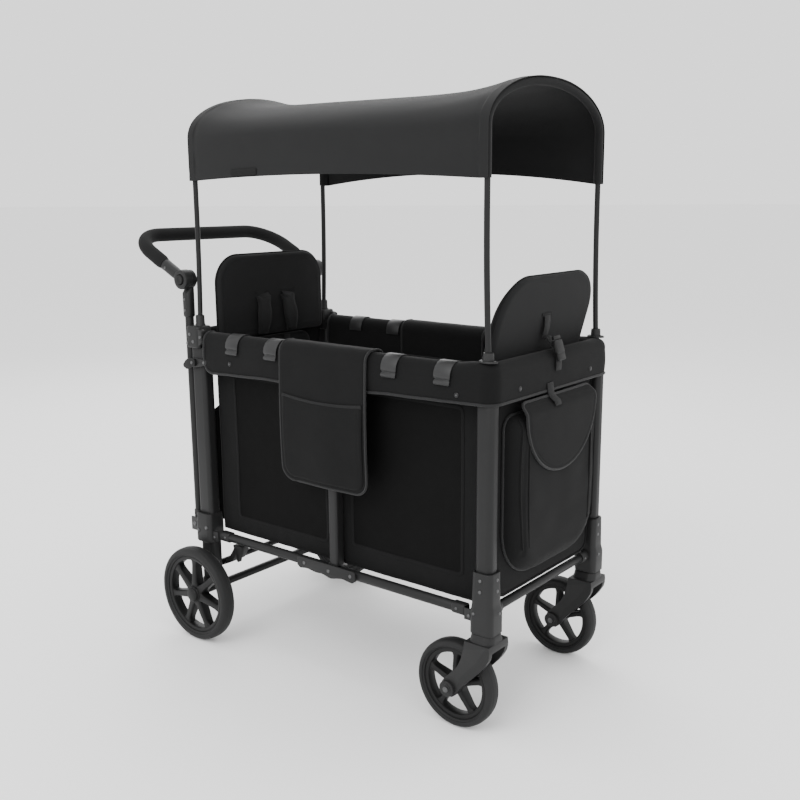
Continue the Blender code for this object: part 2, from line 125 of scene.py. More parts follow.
def weave_height(nt, vec, x, y, z, pitch):
    k = 2 * math.pi / pitch
    s = math_node(nt, "ADD", x, y)
    t = math_node(nt, "ADD", z, math_node(nt, "MULTIPLY", math_node(nt, "SUBTRACT", x, y), 0.5))
    a = math_node(nt, "SINE", math_node(nt, "MULTIPLY", s, k))
    c = math_node(nt, "SINE", math_node(nt, "MULTIPLY", t, k))
    return math_node(nt, "MULTIPLY_ADD", math_node(nt, "MULTIPLY", a, c), 0.5, 0.5)


def fabric_mat(name, base, pitch=0.0013, rough=0.85, sheen=0.25, contrast=0.22, bumpy=0.35):
    m, nt, b = new_mat(name)
    vec, x, y, z = coords(nt)
    big = noise_tex(nt, vec, 14.0, 4.0)
    fine = noise_tex(nt, vec, 900.0, 2.0)
    w = weave_height(nt, vec, x, y, z, pitch)
    f = math_node(nt, "MULTIPLY_ADD", big, 0.55, math_node(nt, "MULTIPLY", w, 0.25))
    f = math_node(nt, "MULTIPLY_ADD", fine, 0.25, f)
    col = ramp_colour(nt, f, grey(base * (1 - contrast), 0.02), grey(base * (1 + contrast * 1.3), 0.03))
    nt.links.new(col, b.inputs["Base Color"])
    b.inputs["Roughness"].default_value = rough
    b.inputs["Specular IOR Level"].default_value = 0.09
    b.inputs["Sheen Weight"].default_value = sheen
    b.inputs["Sheen Roughness"].default_value = 0.45
    h = math_node(nt, "MULTIPLY_ADD", fine, 0.4, w)
    bump(nt, b, h, bumpy, 0.0003)
    return m


def mesh_mat(name, base):
    """Open net: dark threads with small diamond holes."""
    m, nt, b = new_mat(name)
    vec, x, y, z = coords(nt)
    k = 2 * math.pi / 0.0026
    s = math_node(nt, "ADD", x, z)
    t = math_node(nt, "SUBTRACT", x, z)
    a = math_node(nt, "SINE", math_node(nt, "MULTIPLY", s, k))
    c = math_node(nt, "SINE", math_node(nt, "MULTIPLY", t, k))
    hole = math_node(nt, "GREATER_THAN", math_node(nt, "MULTIPLY", a, c), 0.68)
    alpha = math_node(nt, "SUBTRACT", 1.0, hole)
    big = noise_tex(nt, vec, 10.0, 3.0)
    col = ramp_colour(nt, big, grey(base * 0.8), grey(base * 1.25))
    nt.links.new(col, b.inputs["Base Color"])
    nt.links.new(alpha, b.inputs["Alpha"])
    b.inputs["Roughness"].default_value = 0.75
    b.inputs["Specular IOR Level"].default_value = 0.08
    return m


def hard_mat(name, base, rough, metal=0.0, grain=0.25, grain_scale=1400.0, wear=0.0, spec=0.5, coat=0.0):
    m, nt, b = new_mat(name)
    vec, x, y, z = coords(nt)
    big = noise_tex(nt, vec, 22.0, 4.0)
    fine = noise_tex(nt, vec, grain_scale, 2.0)
    col = ramp_colour(nt, big, grey(base * 0.88, 0.02), grey(base * 1.14, 0.02))
    if wear > 0:
        geo = nt.nodes.new("ShaderNodeNewGeometry")
        edge = math_node(nt, "GREATER_THAN", geo.outputs["Pointiness"], 0.56)
        f = math_node(nt, "MULTIPLY", edge, math_node(nt, "MULTIPLY", big, wear))
        mix = nt.nodes.new("ShaderNodeMix")
        mix.data_type = "RGBA"
        nt.links.new(f, mix.inputs[0])
        nt.links.new(col, mix.inputs[6])
        mix.inputs[7].default_value = (*grey(min(0.5, base * 2.5)), 1)
        col = mix.outputs[2]
    nt.links.new(col, b.inputs["Base Color"])
    r = math_node(nt, "MULTIPLY_ADD", big, 0.16, rough - 0.08)
    nt.links.new(r, b.inputs["Roughness"])
    b.inputs["Metallic"].default_value = metal
    b.inputs["Specular IOR Level"].default_value = spec
    b.inputs["Coat Weight"].default_value = coat
    b.inputs["Coat Roughness"].default_value = 0.3
    bump(nt, b, fine, grain, 0.00015)
    return m


M = dict(
    tube=hard_mat("powder_coated_tube", 0.0120, 0.44, 0.10, 0.12, 1800.0, 0.3, 0.20),
    plastic=hard_mat("moulded_plastic_mat", 0.0065, 0.50, 0.0, 0.35, 1600.0, 0.25, 0.20),
    casting=hard_mat("moulded_casting", 0.0115, 0.46, 0.0, 0.3, 1600.0, 0.3, 0.22),
    rimplastic=hard_mat("wheel_plastic", 0.0050, 0.46, 0.0, 0.3, 1500.0, 0.25, 0.20),
    tyre=hard_mat("tyre_rubber", 0.0130, 0.60, 0.0, 0.5, 900.0, 0.0, 0.18),
    foam=hard_mat("grip_foam", 0.0075, 0.88, 0.0, 0.9, 700.0, 0.0, 0.15),
    pole=hard_mat("canopy_pole_mat", 0.0130, 0.38, 0.30, 0.08, 1500.0, 0.2, 0.22),
    rivet=hard_mat("bright_rivet", 0.085, 0.38, 0.80, 0.05, 1500.0),
    bolt=hard_mat("dark_bolt", 0.022, 0.36, 0.6, 0.05, 1500.0, 0.0, 0.3),
    clip=hard_mat("clip_metal", 0.026, 0.46, 0.40, 0.08, 1500.0, 0.2, 0.3),
    body=fabric_mat("body_fabric_mat", 0.0052, 0.0013, 0.85, 0.05),
    rim=fabric_mat("rim_fabric_mat", 0.0052, 0.0014, 0.85, 0.05),
    pad=fabric_mat("pad_fabric_mat", 0.0100, 0.0011, 0.88, 0.06),
    inner=fabric_mat("inner_fabric_mat", 0.0078, 0.0012, 0.9, 0.05),
    canopy=fabric_mat("canopy_fabric_mat", 0.0120, 0.0010, 0.8, 0.08, 0.14, 0.25),
    canopy_in=fabric_mat("canopy_lining_mat", 0.0100, 0.0010, 0.9, 0.05, 0.14, 0.2),
    piping=fabric_mat("piping_mat", 0.0150, 0.0009, 0.6, 0.10, 0.2, 0.5),
    strap=fabric_mat("webbing_mat", 0.0085, 0.0018, 0.6, 0.06, 0.3, 0.9),
    mesh=mesh_mat("mesh_net_mat", 0.0034),
    tag=hard_mat("blank_tag", 0.004, 0.55, 0.0, 0.2, spec=0.15),
)


# ------------------------------------------------------------------ mesh helpers
def facing_out(bm):
    bmesh.ops.recalc_face_normals(bm, faces=bm.faces)
    if bm.calc_volume(signed=True) < 0:
        bmesh.ops.reverse_faces(bm, faces=bm.faces)


def add(name, bm, mat, body=None, replaces=(), slot=None, bevel=0.0, seg=2, angle=32,
        smooth=38, mats=None, shift=True):
    facing_out(bm)
    me = bpy.data.meshes.new(name)
    bm.to_mesh(me)
    bm.free()
    if shift:
        me.transform(Matrix.Translation((SHIFT, 0, 0)))
    obj = bpy.data.objects.new(name, me)
    bpy.context.scene.collection.objects.link(obj)
    for mm in (mats or [mat]):
        me.materials.append(M[mm])
    if bevel:
        mod = obj.modifiers.new("b", "BEVEL")
        mod.width = bevel
        mod.segments = seg
        mod.limit_method = "ANGLE"
        mod.angle_limit = math.radians(angle)
        graph = bpy.context.evaluated_depsgraph_get()
        new = bpy.data.meshes.new_from_object(obj.evaluated_get(graph))
        obj.modifiers.clear()
        old = obj.data
        obj.data = new
        bpy.data.meshes.remove(old)
    obj.data.shade_smooth()
    obj.data.set_sharp_from_angle(angle=math.radians(smooth))
    obj.data.name = name
    if body:
        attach(obj, body)
    if replaces:
        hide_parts(*([replaces] if isinstance(replaces, str) else replaces))
    return obj


def rrect(cx, cy, w, h, r, n=7):
    pts = []
    for k, (sx, sy) in enumerate(((1, 1), (-1, 1), (-1, -1), (1, -1))):
        for i in range(n):
            a = math.radians(90 * k + 90 * i / (n - 1))
            pts.append((cx + sx * (w / 2 - r) + r * math.cos(a),
                        cy + sy * (h / 2 - r) + r * math.sin(a)))
    return pts


def circle(cx, cy, r, n=32, a0=0.0):
    return [(cx + r * math.cos(a0 + 2 * math.pi * i / n),
             cy + r * math.sin(a0 + 2 * math.pi * i / n)) for i in range(n)]


def place(axis, p, q, a):
    return {"x": (a, p, q), "y": (p, a, q), "z": (p, q, a)}[axis]


def prism(outline, axis, a0, a1, bm=None):
    bm = bm or bmesh.new()
    low = [bm.verts.new(place(axis, p, q, a0)) for p, q in outline]
    high = [bm.verts.new(place(axis, p, q, a1)) for p, q in outline]
    n = len(outline)
    f = [bm.faces.new(low), bm.faces.new(high)]
    for i in range(n):
        f.append(bm.faces.new((low[i], low[(i + 1) % n], high[(i + 1) % n], high[i])))
    bmesh.ops.recalc_face_normals(bm, faces=f)
    return bm


def box(x0, x1, y0, y1, z0, z1):
    return prism([(x0, y0), (x1, y0), (x1, y1), (x0, y1)], "z", z0, z1)


def loft(sections, cap=True):
    bm = bmesh.new()
    rows = [[bm.verts.new(p) for p in s] for s in sections]
    n = len(rows[0])
    for a, b in zip(rows, rows[1:]):
        for k in range(n):
            bm.faces.new((a[k], a[(k + 1) % n], b[(k + 1) % n], b[k]))
    if cap:
        bm.faces.new(rows[0])
        bm.faces.new(rows[-1])
    return bm


def revolve(profile, centre, n=72, closed=True, bm=None):
    """A profile (radius, y offset) turned about the Y line through centre."""
    bm = bm or bmesh.new()
    cx, cy, cz = centre
    rings = []
    for r, y in profile:
        if r < 1e-6:
            rings.append([bm.verts.new((cx, cy + y, cz))] * n)
        else:
            rings.append([bm.verts.new((cx + r * math.cos(2 * math.pi * i / n), cy + y,
                                        cz + r * math.sin(2 * math.pi * i / n)))
                          for i in range(n)])
    pairs = list(zip(rings, rings[1:]))
    if closed:
        pairs.append((rings[-1], rings[0]))
    for a, b in pairs:
        for i in range(n):
            j = (i + 1) % n
            q = []
            for v in (a[i], a[j], b[j], b[i]):
                if v not in q:
                    q.append(v)
            if len(q) > 2:
                bm.faces.new(q)
    return bm


def frames_along(path, up=None):
    path = [Vector(p) for p in path]
    out = []
    for i, p in enumerate(path):
        t = (path[min(i + 1, len(path) - 1)] - path[max(i - 1, 0)]).normalized()
        if up is None:
            up = Vector((0, 0, 1)) if abs(t.z) < 0.9 else Vector((1, 0, 0))
        side = t.cross(up).normalized()
        up = side.cross(t).normalized()
        out.append((p, side.copy(), up.copy()))
    return out


def tube(path, r, n=16, r2=None, closed=False, bm=None, dome=False):
    """A round or oval tube along a path. r may be a function of 0..1."""
    bm = bm or bmesh.new()
    fr = frames_along(path)
    m = len(fr)
    rings = []
    for i, (p, side, up) in enumerate(fr):
        ra = r(i / max(m - 1, 1)) if callable(r) else r
        rb = r2 if r2 is not None else ra
        rings.append([bm.verts.new(p + ra * math.cos(2 * math.pi * k / n) * side
                                   + rb * math.sin(2 * math.pi * k / n) * up) for k in range(n)])
    pairs = list(zip(rings, rings[1:]))
    if closed:
        pairs.append((rings[-1], rings[0]))
    for a, b in pairs:
        for k in range(n):
            bm.faces.new((a[k], a[(k + 1) % n], b[(k + 1) % n], b[k]))
    if not closed:
        bm.faces.new(rings[0])
        bm.faces.new(rings[-1])
    return bm


def ribbon(path, normals, width, thick, bm=None, rnd=0.3):
    """Flat webbing: path points, outward normals, width (number or list) and thickness."""
    bm = bm or bmesh.new()
    path = [Vector(p) for p in path]
    rows = []
    for i, p in enumerate(path):
        t = (path[min(i + 1, len(path) - 1)] - path[max(i - 1, 0)]).normalized()
        n = Vector(normals[i] if isinstance(normals, list) else normals)
        n = (n - n.dot(t) * t).normalized()
        s = t.cross(n).normalized()
        w = (width[i] if isinstance(width, (list, tuple)) else width) / 2
        h = thick / 2
        e = h * rnd * 2
        prof = [(-w, -h + e * .5), (-w + e, -h), (w - e, -h), (w, -h + e * .5),
                (w, h - e * .5), (w - e, h), (-w + e, h), (-w, h - e * .5)]
        rows.append([bm.verts.new(p + s * a + n * b) for a, b in prof])
    m = 8
    for a, b in zip(rows, rows[1:]):
        for k in range(m):
            bm.faces.new((a[k], a[(k + 1) % m], b[(k + 1) % m], b[k]))
    bm.faces.new(rows[0])
    bm.faces.new(rows[-1])
    return bm


def combined(first, *others):
    def as_object(bm):
        facing_out(bm)
        me = bpy.data.meshes.new("tmp")
        bm.to_mesh(me)
        bm.free()
        o = bpy.data.objects.new("tmp", me)
        bpy.context.scene.collection.objects.link(o)
        return o

    base = as_object(first)
    helpers = []
    for sign, bm in others:
        o = as_object(bm)
        helpers.append(o)
        mod = base.modifiers.new("b", "BOOLEAN")
        mod.operation = "UNION" if sign == "+" else "DIFFERENCE"
        mod.solver = "EXACT"
        mod.object = o
    graph = bpy.context.evaluated_depsgraph_get()
    me = bpy.data.meshes.new_from_object(base.evaluated_get(graph))
    out = bmesh.new()
    out.from_mesh(me)
    for o in [base] + helpers:
        bpy.data.objects.remove(o, do_unlink=True)
    bmesh.ops.remove_doubles(out, verts=out.verts, dist=1e-5)
    bmesh.ops.dissolve_limit(out, angle_limit=math.radians(1.0), verts=out.verts, edges=out.edges)
    return out


def button_head(centre, axis, r, h, bm=None, n=16):
    """A domed rivet head; axis is a signed letter such as '+y'."""
    bm = bm or bmesh.new()
    d = {"x": Vector((1, 0, 0)), "y": Vector((0, 1, 0)), "z": Vector((0, 0, 1))}[axis[1]]
    if axis[0] == "-":
        d = -d
    a = d.orthogonal().normalized()
    b = d.cross(a)
    c = Vector(centre)
    rings = []
    for rr, hh in ((1.0, -0.5), (1.0, 0.25), (0.88, 0.62), (0.6, 0.88), (0.3, 0.98)):
        rings.append([bm.verts.new(c + d * h * hh + (a * math.cos(2 * math.pi * k / n)
                      + b * math.sin(2 * math.pi * k / n)) * r * rr) for k in range(n)])
    for p, q in zip(rings, rings[1:]):
        for k in range(n):
            bm.faces.new((p[k], p[(k + 1) % n], q[(k + 1) % n], q[k]))
    bm.faces.new(rings[0])
    bm.faces.new(rings[-1])
    return bm


def smoothstep(t):
    t = max(0.0, min(1.0, t))
    return t * t * (3 - 2 * t)


def wrinkle(u, v, seed, scale=9.0, amp=0.0008):
    p = Vector((u * scale + seed * 3.17, v * scale * 1.3 - seed * 1.71, seed * 0.77))
    return amp * (noise.noise(p) + 0.5 * noise.noise(p * 2.3))


def pad(edge, v0, v1, to3, up, down, rad, nu=44, nv=44, disp=None, grooves=(), dense=0.5):
    """A sewn pad. edge(v) gives its (low u, high u) and to3(u, v, h) places it.
    up and down are the heights of its two faces and rad the roll of its edge."""
    rows = []
    for j in range(nv + 1):
        t = j / nv
        t = (1 - dense) * t + dense * 0.5 * (1 - math.cos(math.pi * t))
        v = v0 + (v1 - v0) * t
        a, b = edge(v)
        row = []
        for i in range(nu + 1):
            q = i / nu
            q = (1 - dense) * q + dense * 0.5 * (1 - math.cos(math.pi * q))
            row.append((a + (b - a) * q, v))
        rows.append(row)
    P = np.array(rows)
    outline = np.concatenate([P[0], P[1:, -1], P[-1, ::-1][1:], P[::-1, 0][1:-1]])
    nxt = np.roll(outline, -1, axis=0)
    seg = nxt - outline
    sl = np.maximum((seg ** 2).sum(1), 1e-18)
    flat = P.reshape(-1, 2)
    D = np.full(len(flat), 9.9)
    for k in range(len(outline)):
        w = flat - outline[k]
        tt = np.clip((w @ seg[k]) / sl[k], 0, 1)
        D = np.minimum(D, np.sqrt(((w - tt[:, None] * seg[k]) ** 2).sum(1)))
    D = D.reshape(P.shape[:2])
    bm = bmesh.new()
    top, bot = {}, {}
    for j in range(nv + 1):
        for i in range(nu + 1):
            u, v = P[j, i]
            d = D[j, i]
            on_edge = i in (0, nu) or j in (0, nv)
            f = 0.0 if on_edge else math.sqrt(max(0.0, 1 - (1 - min(d / rad, 1)) ** 2))
            e = 0.0
            if disp and not on_edge:
                e = disp(u, v, d) * min(1.0, d / rad)
            for fn in grooves:
                e -= 0.0 if on_edge else fn(u, v, d)
            if on_edge:
                top[j, i] = bot[j, i] = bm.verts.new(to3(u, v, 0.0))
            else:
                top[j, i] = bm.verts.new(to3(u, v, up * f + e))
                bot[j, i] = bm.verts.new(to3(u, v, -down * f))
    for j in range(nv):
        for i in range(nu):
            for side in (top, bot):
                q = []
                for key in ((j, i), (j, i + 1), (j + 1, i + 1), (j + 1, i)):
                    if side[key] not in q:
                        q.append(side[key])
                if len(q) > 2:
                    try:
                        bm.faces.new(q if side is top else q[::-1])
                    except ValueError:
                        pass
    return bm


def ring_groove(at, depth, width):
    return lambda u, v, d: depth * math.exp(-((d - at) / width) ** 2)


def rounded(half, v0, v1, r_top, r_bot):
    """Half width of an outline with rounded corners."""
    def edge(v):
        w = half
        if r_top and v > v1 - r_top:
            t = (v - (v1 - r_top)) / r_top
            w = half - r_top + r_top * math.sqrt(max(0.0, 1 - t * t))
        if r_bot and v < v0 + r_bot:
            t = ((v0 + r_bot) - v) / r_bot
            w = min(w, half - r_bot + r_bot * math.sqrt(max(0.0, 1 - t * t)))
        return -w, w
    return edge


def outline_path(edge, v0, v1, to3, h=0.0, n=60, lo=None, hi=None):
    """Points round a pad's outline: up the low side, over, and down the high side."""
    lo = v0 if lo is None else lo
    pts = []
    vs = [lo + (v1 - lo) * 0.5 * (1 - math.cos(math.pi * k / n)) for k in range(n + 1)]
    for v in vs:
        pts.append(to3(edge(v)[0], v, h))
    a, b = edge(v1)
    for k in range(1, 10):
        pts.append(to3(a + (b - a) * k / 10, v1, h))
    for v in reversed(vs):
        pts.append(to3(edge(v)[1], v, h))
    keep = [pts[0]]
    for p in pts[1:]:
        if (Vector(p) - Vector(keep[-1])).length > 0.0012:
            keep.append(p)
    return keep


def join_bm(*bms):
    out = bmesh.new()
    for bm in bms:
        me = bpy.data.meshes.new("j")
        facing_out(bm)
        bm.to_mesh(me)
        bm.free()
        out.from_mesh(me)
        bpy.data.meshes.remove(me)
    return out


def stitches(path, normals, pitch=0.006, length=0.004, r=0.0004):
    """A row of short threads standing on a seam."""
    bm = bmesh.new()
    P = [Vector(p) for p in path]
    s = [0.0]
    for a, b in zip(P, P[1:]):
        s.append(s[-1] + (b - a).length)
    def at(d):
        for k in range(len(P) - 1):
            if s[k + 1] >= d:
                t = (d - s[k]) / max(s[k + 1] - s[k], 1e-9)
                n = normals[k] if isinstance(normals, list) else normals
                return P[k].lerp(P[k + 1], t), Vector(n)
        n = normals[-1] if isinstance(normals, list) else normals
        return P[-1], Vector(n)
    d = pitch / 2
    while d + length < s[-1]:
        a, n = at(d)
        b, _ = at(d + length)
        m = (a + b) / 2 + n * r * 0.8
        tube([a, m, b], r, 5, bm=bm)
        d += pitch
    return bm


# ------------------------------------------------------------------ hard parts: frame
RN, BN = bmesh.new(), None


class Bag:
    """Small parts of one body and one material, gathered into one piece."""
    def __init__(self):
        self.items = {}

    def get(self, body, mat):
        return self.items.setdefault((body, mat), bmesh.new())

    def flush(self):
        for (body, mat), bm in self.items.items():
            add(f"{mat}_set_{body}", bm, mat, body, slot="moulded_plastic"
                if mat in ("plastic", "casting") else "frame_tube", smooth=50)


bag = Bag()


def rivet(body, c, axis, r=0.0042, h=0.0018, mat="rivet"):
    button_head(c, axis, r, h, bag.get(body, mat))


for side, s in SIDES:
    y = s * POST_Y
    out = "+y" if s > 0 else "-y"
    cx = -0.4425
    bm = prism(rrect(cx, y, 0.049, 0.035, 0.011, 9), "z", 0.1345, 0.7795)
    add(f"look_rear_post_{side}", bm, "tube", "rear_frame", f"rear_post_{side}", "frame_tube",
        0.0012, 2)
    # rear collar with the lower rail and handle ears
    body = loft([[(*p, z) for p in rrect(-0.4448 + dx, y, w, d, 0.013, 9)] for z, dx, w, d in (
        (0.260, 0, 0.0555, 0.0525), (0.2625, 0, 0.0585, 0.055), (0.312, 0, 0.0585, 0.055),
        (0.318, 0, 0.0560, 0.0525), (0.338, 0, 0.0545, 0.0505))])
    ear = box(-0.430, -0.398, *sorted((s * 0.2396, s * 0.2430)), 0.266, 0.292)
    foot = box(-0.500, -0.466, *sorted((s * 0.2400, s * 0.2445)), 0.282, 0.318)
    hole = rrect(cx, y, 0.0498, 0.0358, 0.0114, 9)
    add(f"look_rear_collar_{side}",
        combined(body, ("+", ear), ("+", foot), ("-", prism(hole, "z", 0.25, 0.35))),
        "casting", "rear_frame", f"rear_collar_{side}", "moulded_plastic", 0.0012, 2)
    rivet("rear_frame", (-0.412, s * 0.2432, 0.276), out)
    rivet("rear_frame", (-0.4600, s * 0.2556, 0.290), out, 0.005)
    rivet("rear_frame", (-0.4280, s * 0.2556, 0.302), out, 0.005)
    rivet("rear_frame", (-0.486, s * 0.2447, 0.300), out, 0.0065, 0.0025)
    # corner block
    block = loft([[(*p, z) for p in rrect(-0.4488 + dx, s * (0.229 + dy), w, d, r, 9)]
                  for z, dx, dy, w, d, r in (
                      (0.780, 0.0, 0, 0.0450, 0.0455, 0.009), (0.782, 0, 0, 0.0475, 0.048, 0.010),
                      (0.829, 0, 0, 0.0475, 0.048, 0.010), (0.8335, 0, 0, 0.0450, 0.0455, 0.010),
                      (0.835, 0, 0, 0.0410, 0.0415, 0.010))])
    ear = box(-0.430, -0.395, *sorted((s * 0.2415, s * 0.2445)), 0.793, 0.8155)
    lug = loft([[(x, s * yy, zz) for yy, zz in rrect(0.2445, zc, 0.0150, h, 0.004, 5)]
                for x, zc, h in ((-0.4265, 0.807, 0.044), (-0.4180, 0.809, 0.037), (-0.4130, 0.8105, 0.031))])
    ferrule = loft([[(*p, z) for p in circle(-POST_X, y, r, 32)] for z, r in (
        (0.83, 0.0135), (0.838, 0.0128), (0.840, 0.0115), (0.860, 0.0110), (0.862, 0.0098))])
    add(f"look_corner_block_{side}",
        combined(block, ("+", ear), ("+", lug), ("+", ferrule)),
        "casting", "rear_frame", f"rear_corner_block_{side}", "moulded_plastic", 0.0011, 2)
    for dx, dz in ((-0.016, -0.010), (0.006, -0.004), (-0.006, 0.014)):
        rivet("rear_frame", (-0.452 + dx, s * 0.2532, 0.800 + dz), out, 0.0044)
    rivet("rear_frame", (-0.4200, s * 0.2520, 0.809), out, 0.0042)
    # latch bracket on the post, and its lever
    br = [(-0.460, 0.7520), (-0.452, 0.7535), (-0.402, 0.7530), (-0.3975, 0.7495), (-0.3980, 0.7420),
          (-0.4020, 0.7385), (-0.4310, 0.7320), (-0.4520, 0.7290), (-0.460, 0.7330)]
    add(f"latch_bracket_{side}", prism(br, "y", *sorted((s * 0.2455, s * 0.2538))), "casting",
        "rear_frame", None, "moulded_plastic", 0.0016, 3)
    rivet("rear_frame", (-0.4080, s * 0.2543, 0.7455), out, 0.0040)
    lever = [(-0.4355, 0.7485), (-0.4400, 0.7530), (-0.4520, 0.7536), (-0.4640, 0.7516), (-0.4720, 0.7468),
             (-0.4822, 0.7352), (-0.4810, 0.7298), (-0.4755, 0.7262), (-0.4680, 0.7236), (-0.4560, 0.7284),
             (-0.4440, 0.7322), (-0.4370, 0.7345), (-0.4355, 0.7390)]
    add(f"look_latch_lever_{side}", prism(lever, "y", *sorted((s * 0.2545, s * 0.2600))),
        "plastic", f"latch_lever_{side}", f"latch_lever_{side}", "moulded_plastic", 0.0012, 3)
    rivet(f"latch_lever_{side}", (-0.447, s * 0.2602, 0.743), out, 0.0042)
    # plastic foot cap of the rear post
    add(f"rear_post_cap_{side}", loft([[(*p, z) for p in rrect(cx, y, w, d, 0.012, 9)] for z, w, d in (
        (0.1355, 0.0510, 0.0370), (0.137, 0.0530, 0.0390), (0.152, 0.0530, 0.0390), (0.154, 0.0510, 0.0370))]),
        "plastic", "rear_frame", None, "moulded_plastic", 0.0008)

add("look_rear_axle", join_bm(prism(circle(-0.4425, 0.126, 0.0075, 28), "y", -0.3005, 0.3005)),
    "tube", "rear_frame", "rear_axle", "frame_tube", 0.0012)
# axle housing tube between the posts
add("rear_axle_sleeve", prism(circle(-0.4425, 0.126, 0.0105, 28), "y", -0.2560, 0.2560),
    "tube", "rear_frame", None, "frame_tube", 0.0010)

# brake
bar = prism(circle(-0.4425, 0.187, 0.008, 28), "y", -0.2090, 0.2090)
pedal = prism([(-0.4400, 0.184), (-0.4200, 0.197), (-0.405, 0.212), (-0.392, 0.231), (-0.384, 0.243),
               (-0.380, 0.2475), (-0.376, 0.2475), (-0.372, 0.243), (-0.374, 0.236), (-0.378, 0.228),
               (-0.387, 0.212), (-0.395, 0.200), (-0.410, 0.1915), (-0.4400, 0.178)],
              "y", -0.2000, -0.1560)
add("look_brake_bar", combined(bar, ("+", pedal)), "tube", "brake", "brake_bar", "frame_tube",
    0.0012, 2)
tread = bmesh.new()
for k in range(5):
    px, pz = -0.3835 - 0.0045 * k, 0.2445 - 0.0075 * k
    tube([(px, -0.1960, pz), (px, -0.1600, pz)], 0.0011, 8, bm=tread)
add("brake_pedal_ribs", tread, "plastic", "brake", None, "moulded_plastic")

for side, s in SIDES:
    y = s * POST_Y
    out = "+y" if s > 0 else "-y"
    bm = prism(rrect(POST_X, y, 0.0425, 0.035, 0.0135, 10), "z", 0.3060, 0.7440)
    add(f"look_front_post_{side}", bm, "tube", "front_frame", f"front_post_{side}", "frame_tube",
        0.0010)
    low = loft([[(*p, z) for p in rrect(POST_X + dx, y, w, d, r, 10)] for z, dx, w, d, r in (
        (0.2435, 0.0012, 0.0560, 0.0505, 0.013), (0.2450, 0.0012, 0.0590, 0.0535, 0.014),
        (0.2860, 0.0012, 0.0590, 0.0535, 0.014), (0.2950, 0.0012, 0.0585, 0.0530, 0.014),
        (0.3020, 0.0010, 0.0562, 0.0508, 0.014), (0.3070, 0.0006, 0.0538, 0.0486, 0.0135),
        (0.3150, 0.0005, 0.0530, 0.0480, 0.013), (0.3790, 0.0005, 0.0512, 0.0452, 0.013),
        (0.3815, 0.0005, 0.0490, 0.0430, 0.012))])
    ear = box(0.398, 0.430, *sorted((s * 0.2396, s * 0.2430)), 0.266, 0.292)
    hole = rrect(POST_X, y, 0.0433, 0.0358, 0.0114, 9)
    add(f"look_front_collar_{side}", combined(low, ("+", ear), ("-", prism(hole, "z", 0.3055, 0.40))),
        "casting", "front_frame", f"front_collar_{side}", "moulded_plastic", 0.0011)
    for z in (0.366, 0.341):
        rivet("front_frame", (0.4443, s * (POST_Y + 0.0236 + (0.366 - z) * 0.02), z), out, 0.0040)
        rivet("front_frame", (0.4702 + (0.366 - z) * 0.012, s * (POST_Y - 0.004), z), "+x", 0.0040)
    rivet("front_frame", (0.430, s * 0.2544, 0.290), out, 0.0036)
    rivet("front_frame", (0.4752, s * (POST_Y - 0.006), 0.291), "+x", 0.0036)
    rivet("front_frame", (0.410, s * 0.2432, 0.276), out)
    # socket of the front crossbar
    sock = loft([[(POST_X + a, s * yy, 0.286 + b) for a, b in circle(0, 0, r, 28)]
                 for yy, r in ((0.2010, 0.0150), (0.1985, 0.0148), (0.1800, 0.0138), (0.1780, 0.0122))])
    add(f"crossbar_socket_{side}", sock, "casting", "front_frame", None, "moulded_plastic", 0.0)
    rivet("front_frame", (POST_X + 0.0135, s * 0.188, 0.286), "+x", 0.0030)
add("look_front_crossbar", prism(circle(POST_X, 0.286, 0.010, 32), "y", -0.1955, 0.1955), "tube",
    "front_frame", "front_lower_crossbar", "frame_tube", 0.0006)

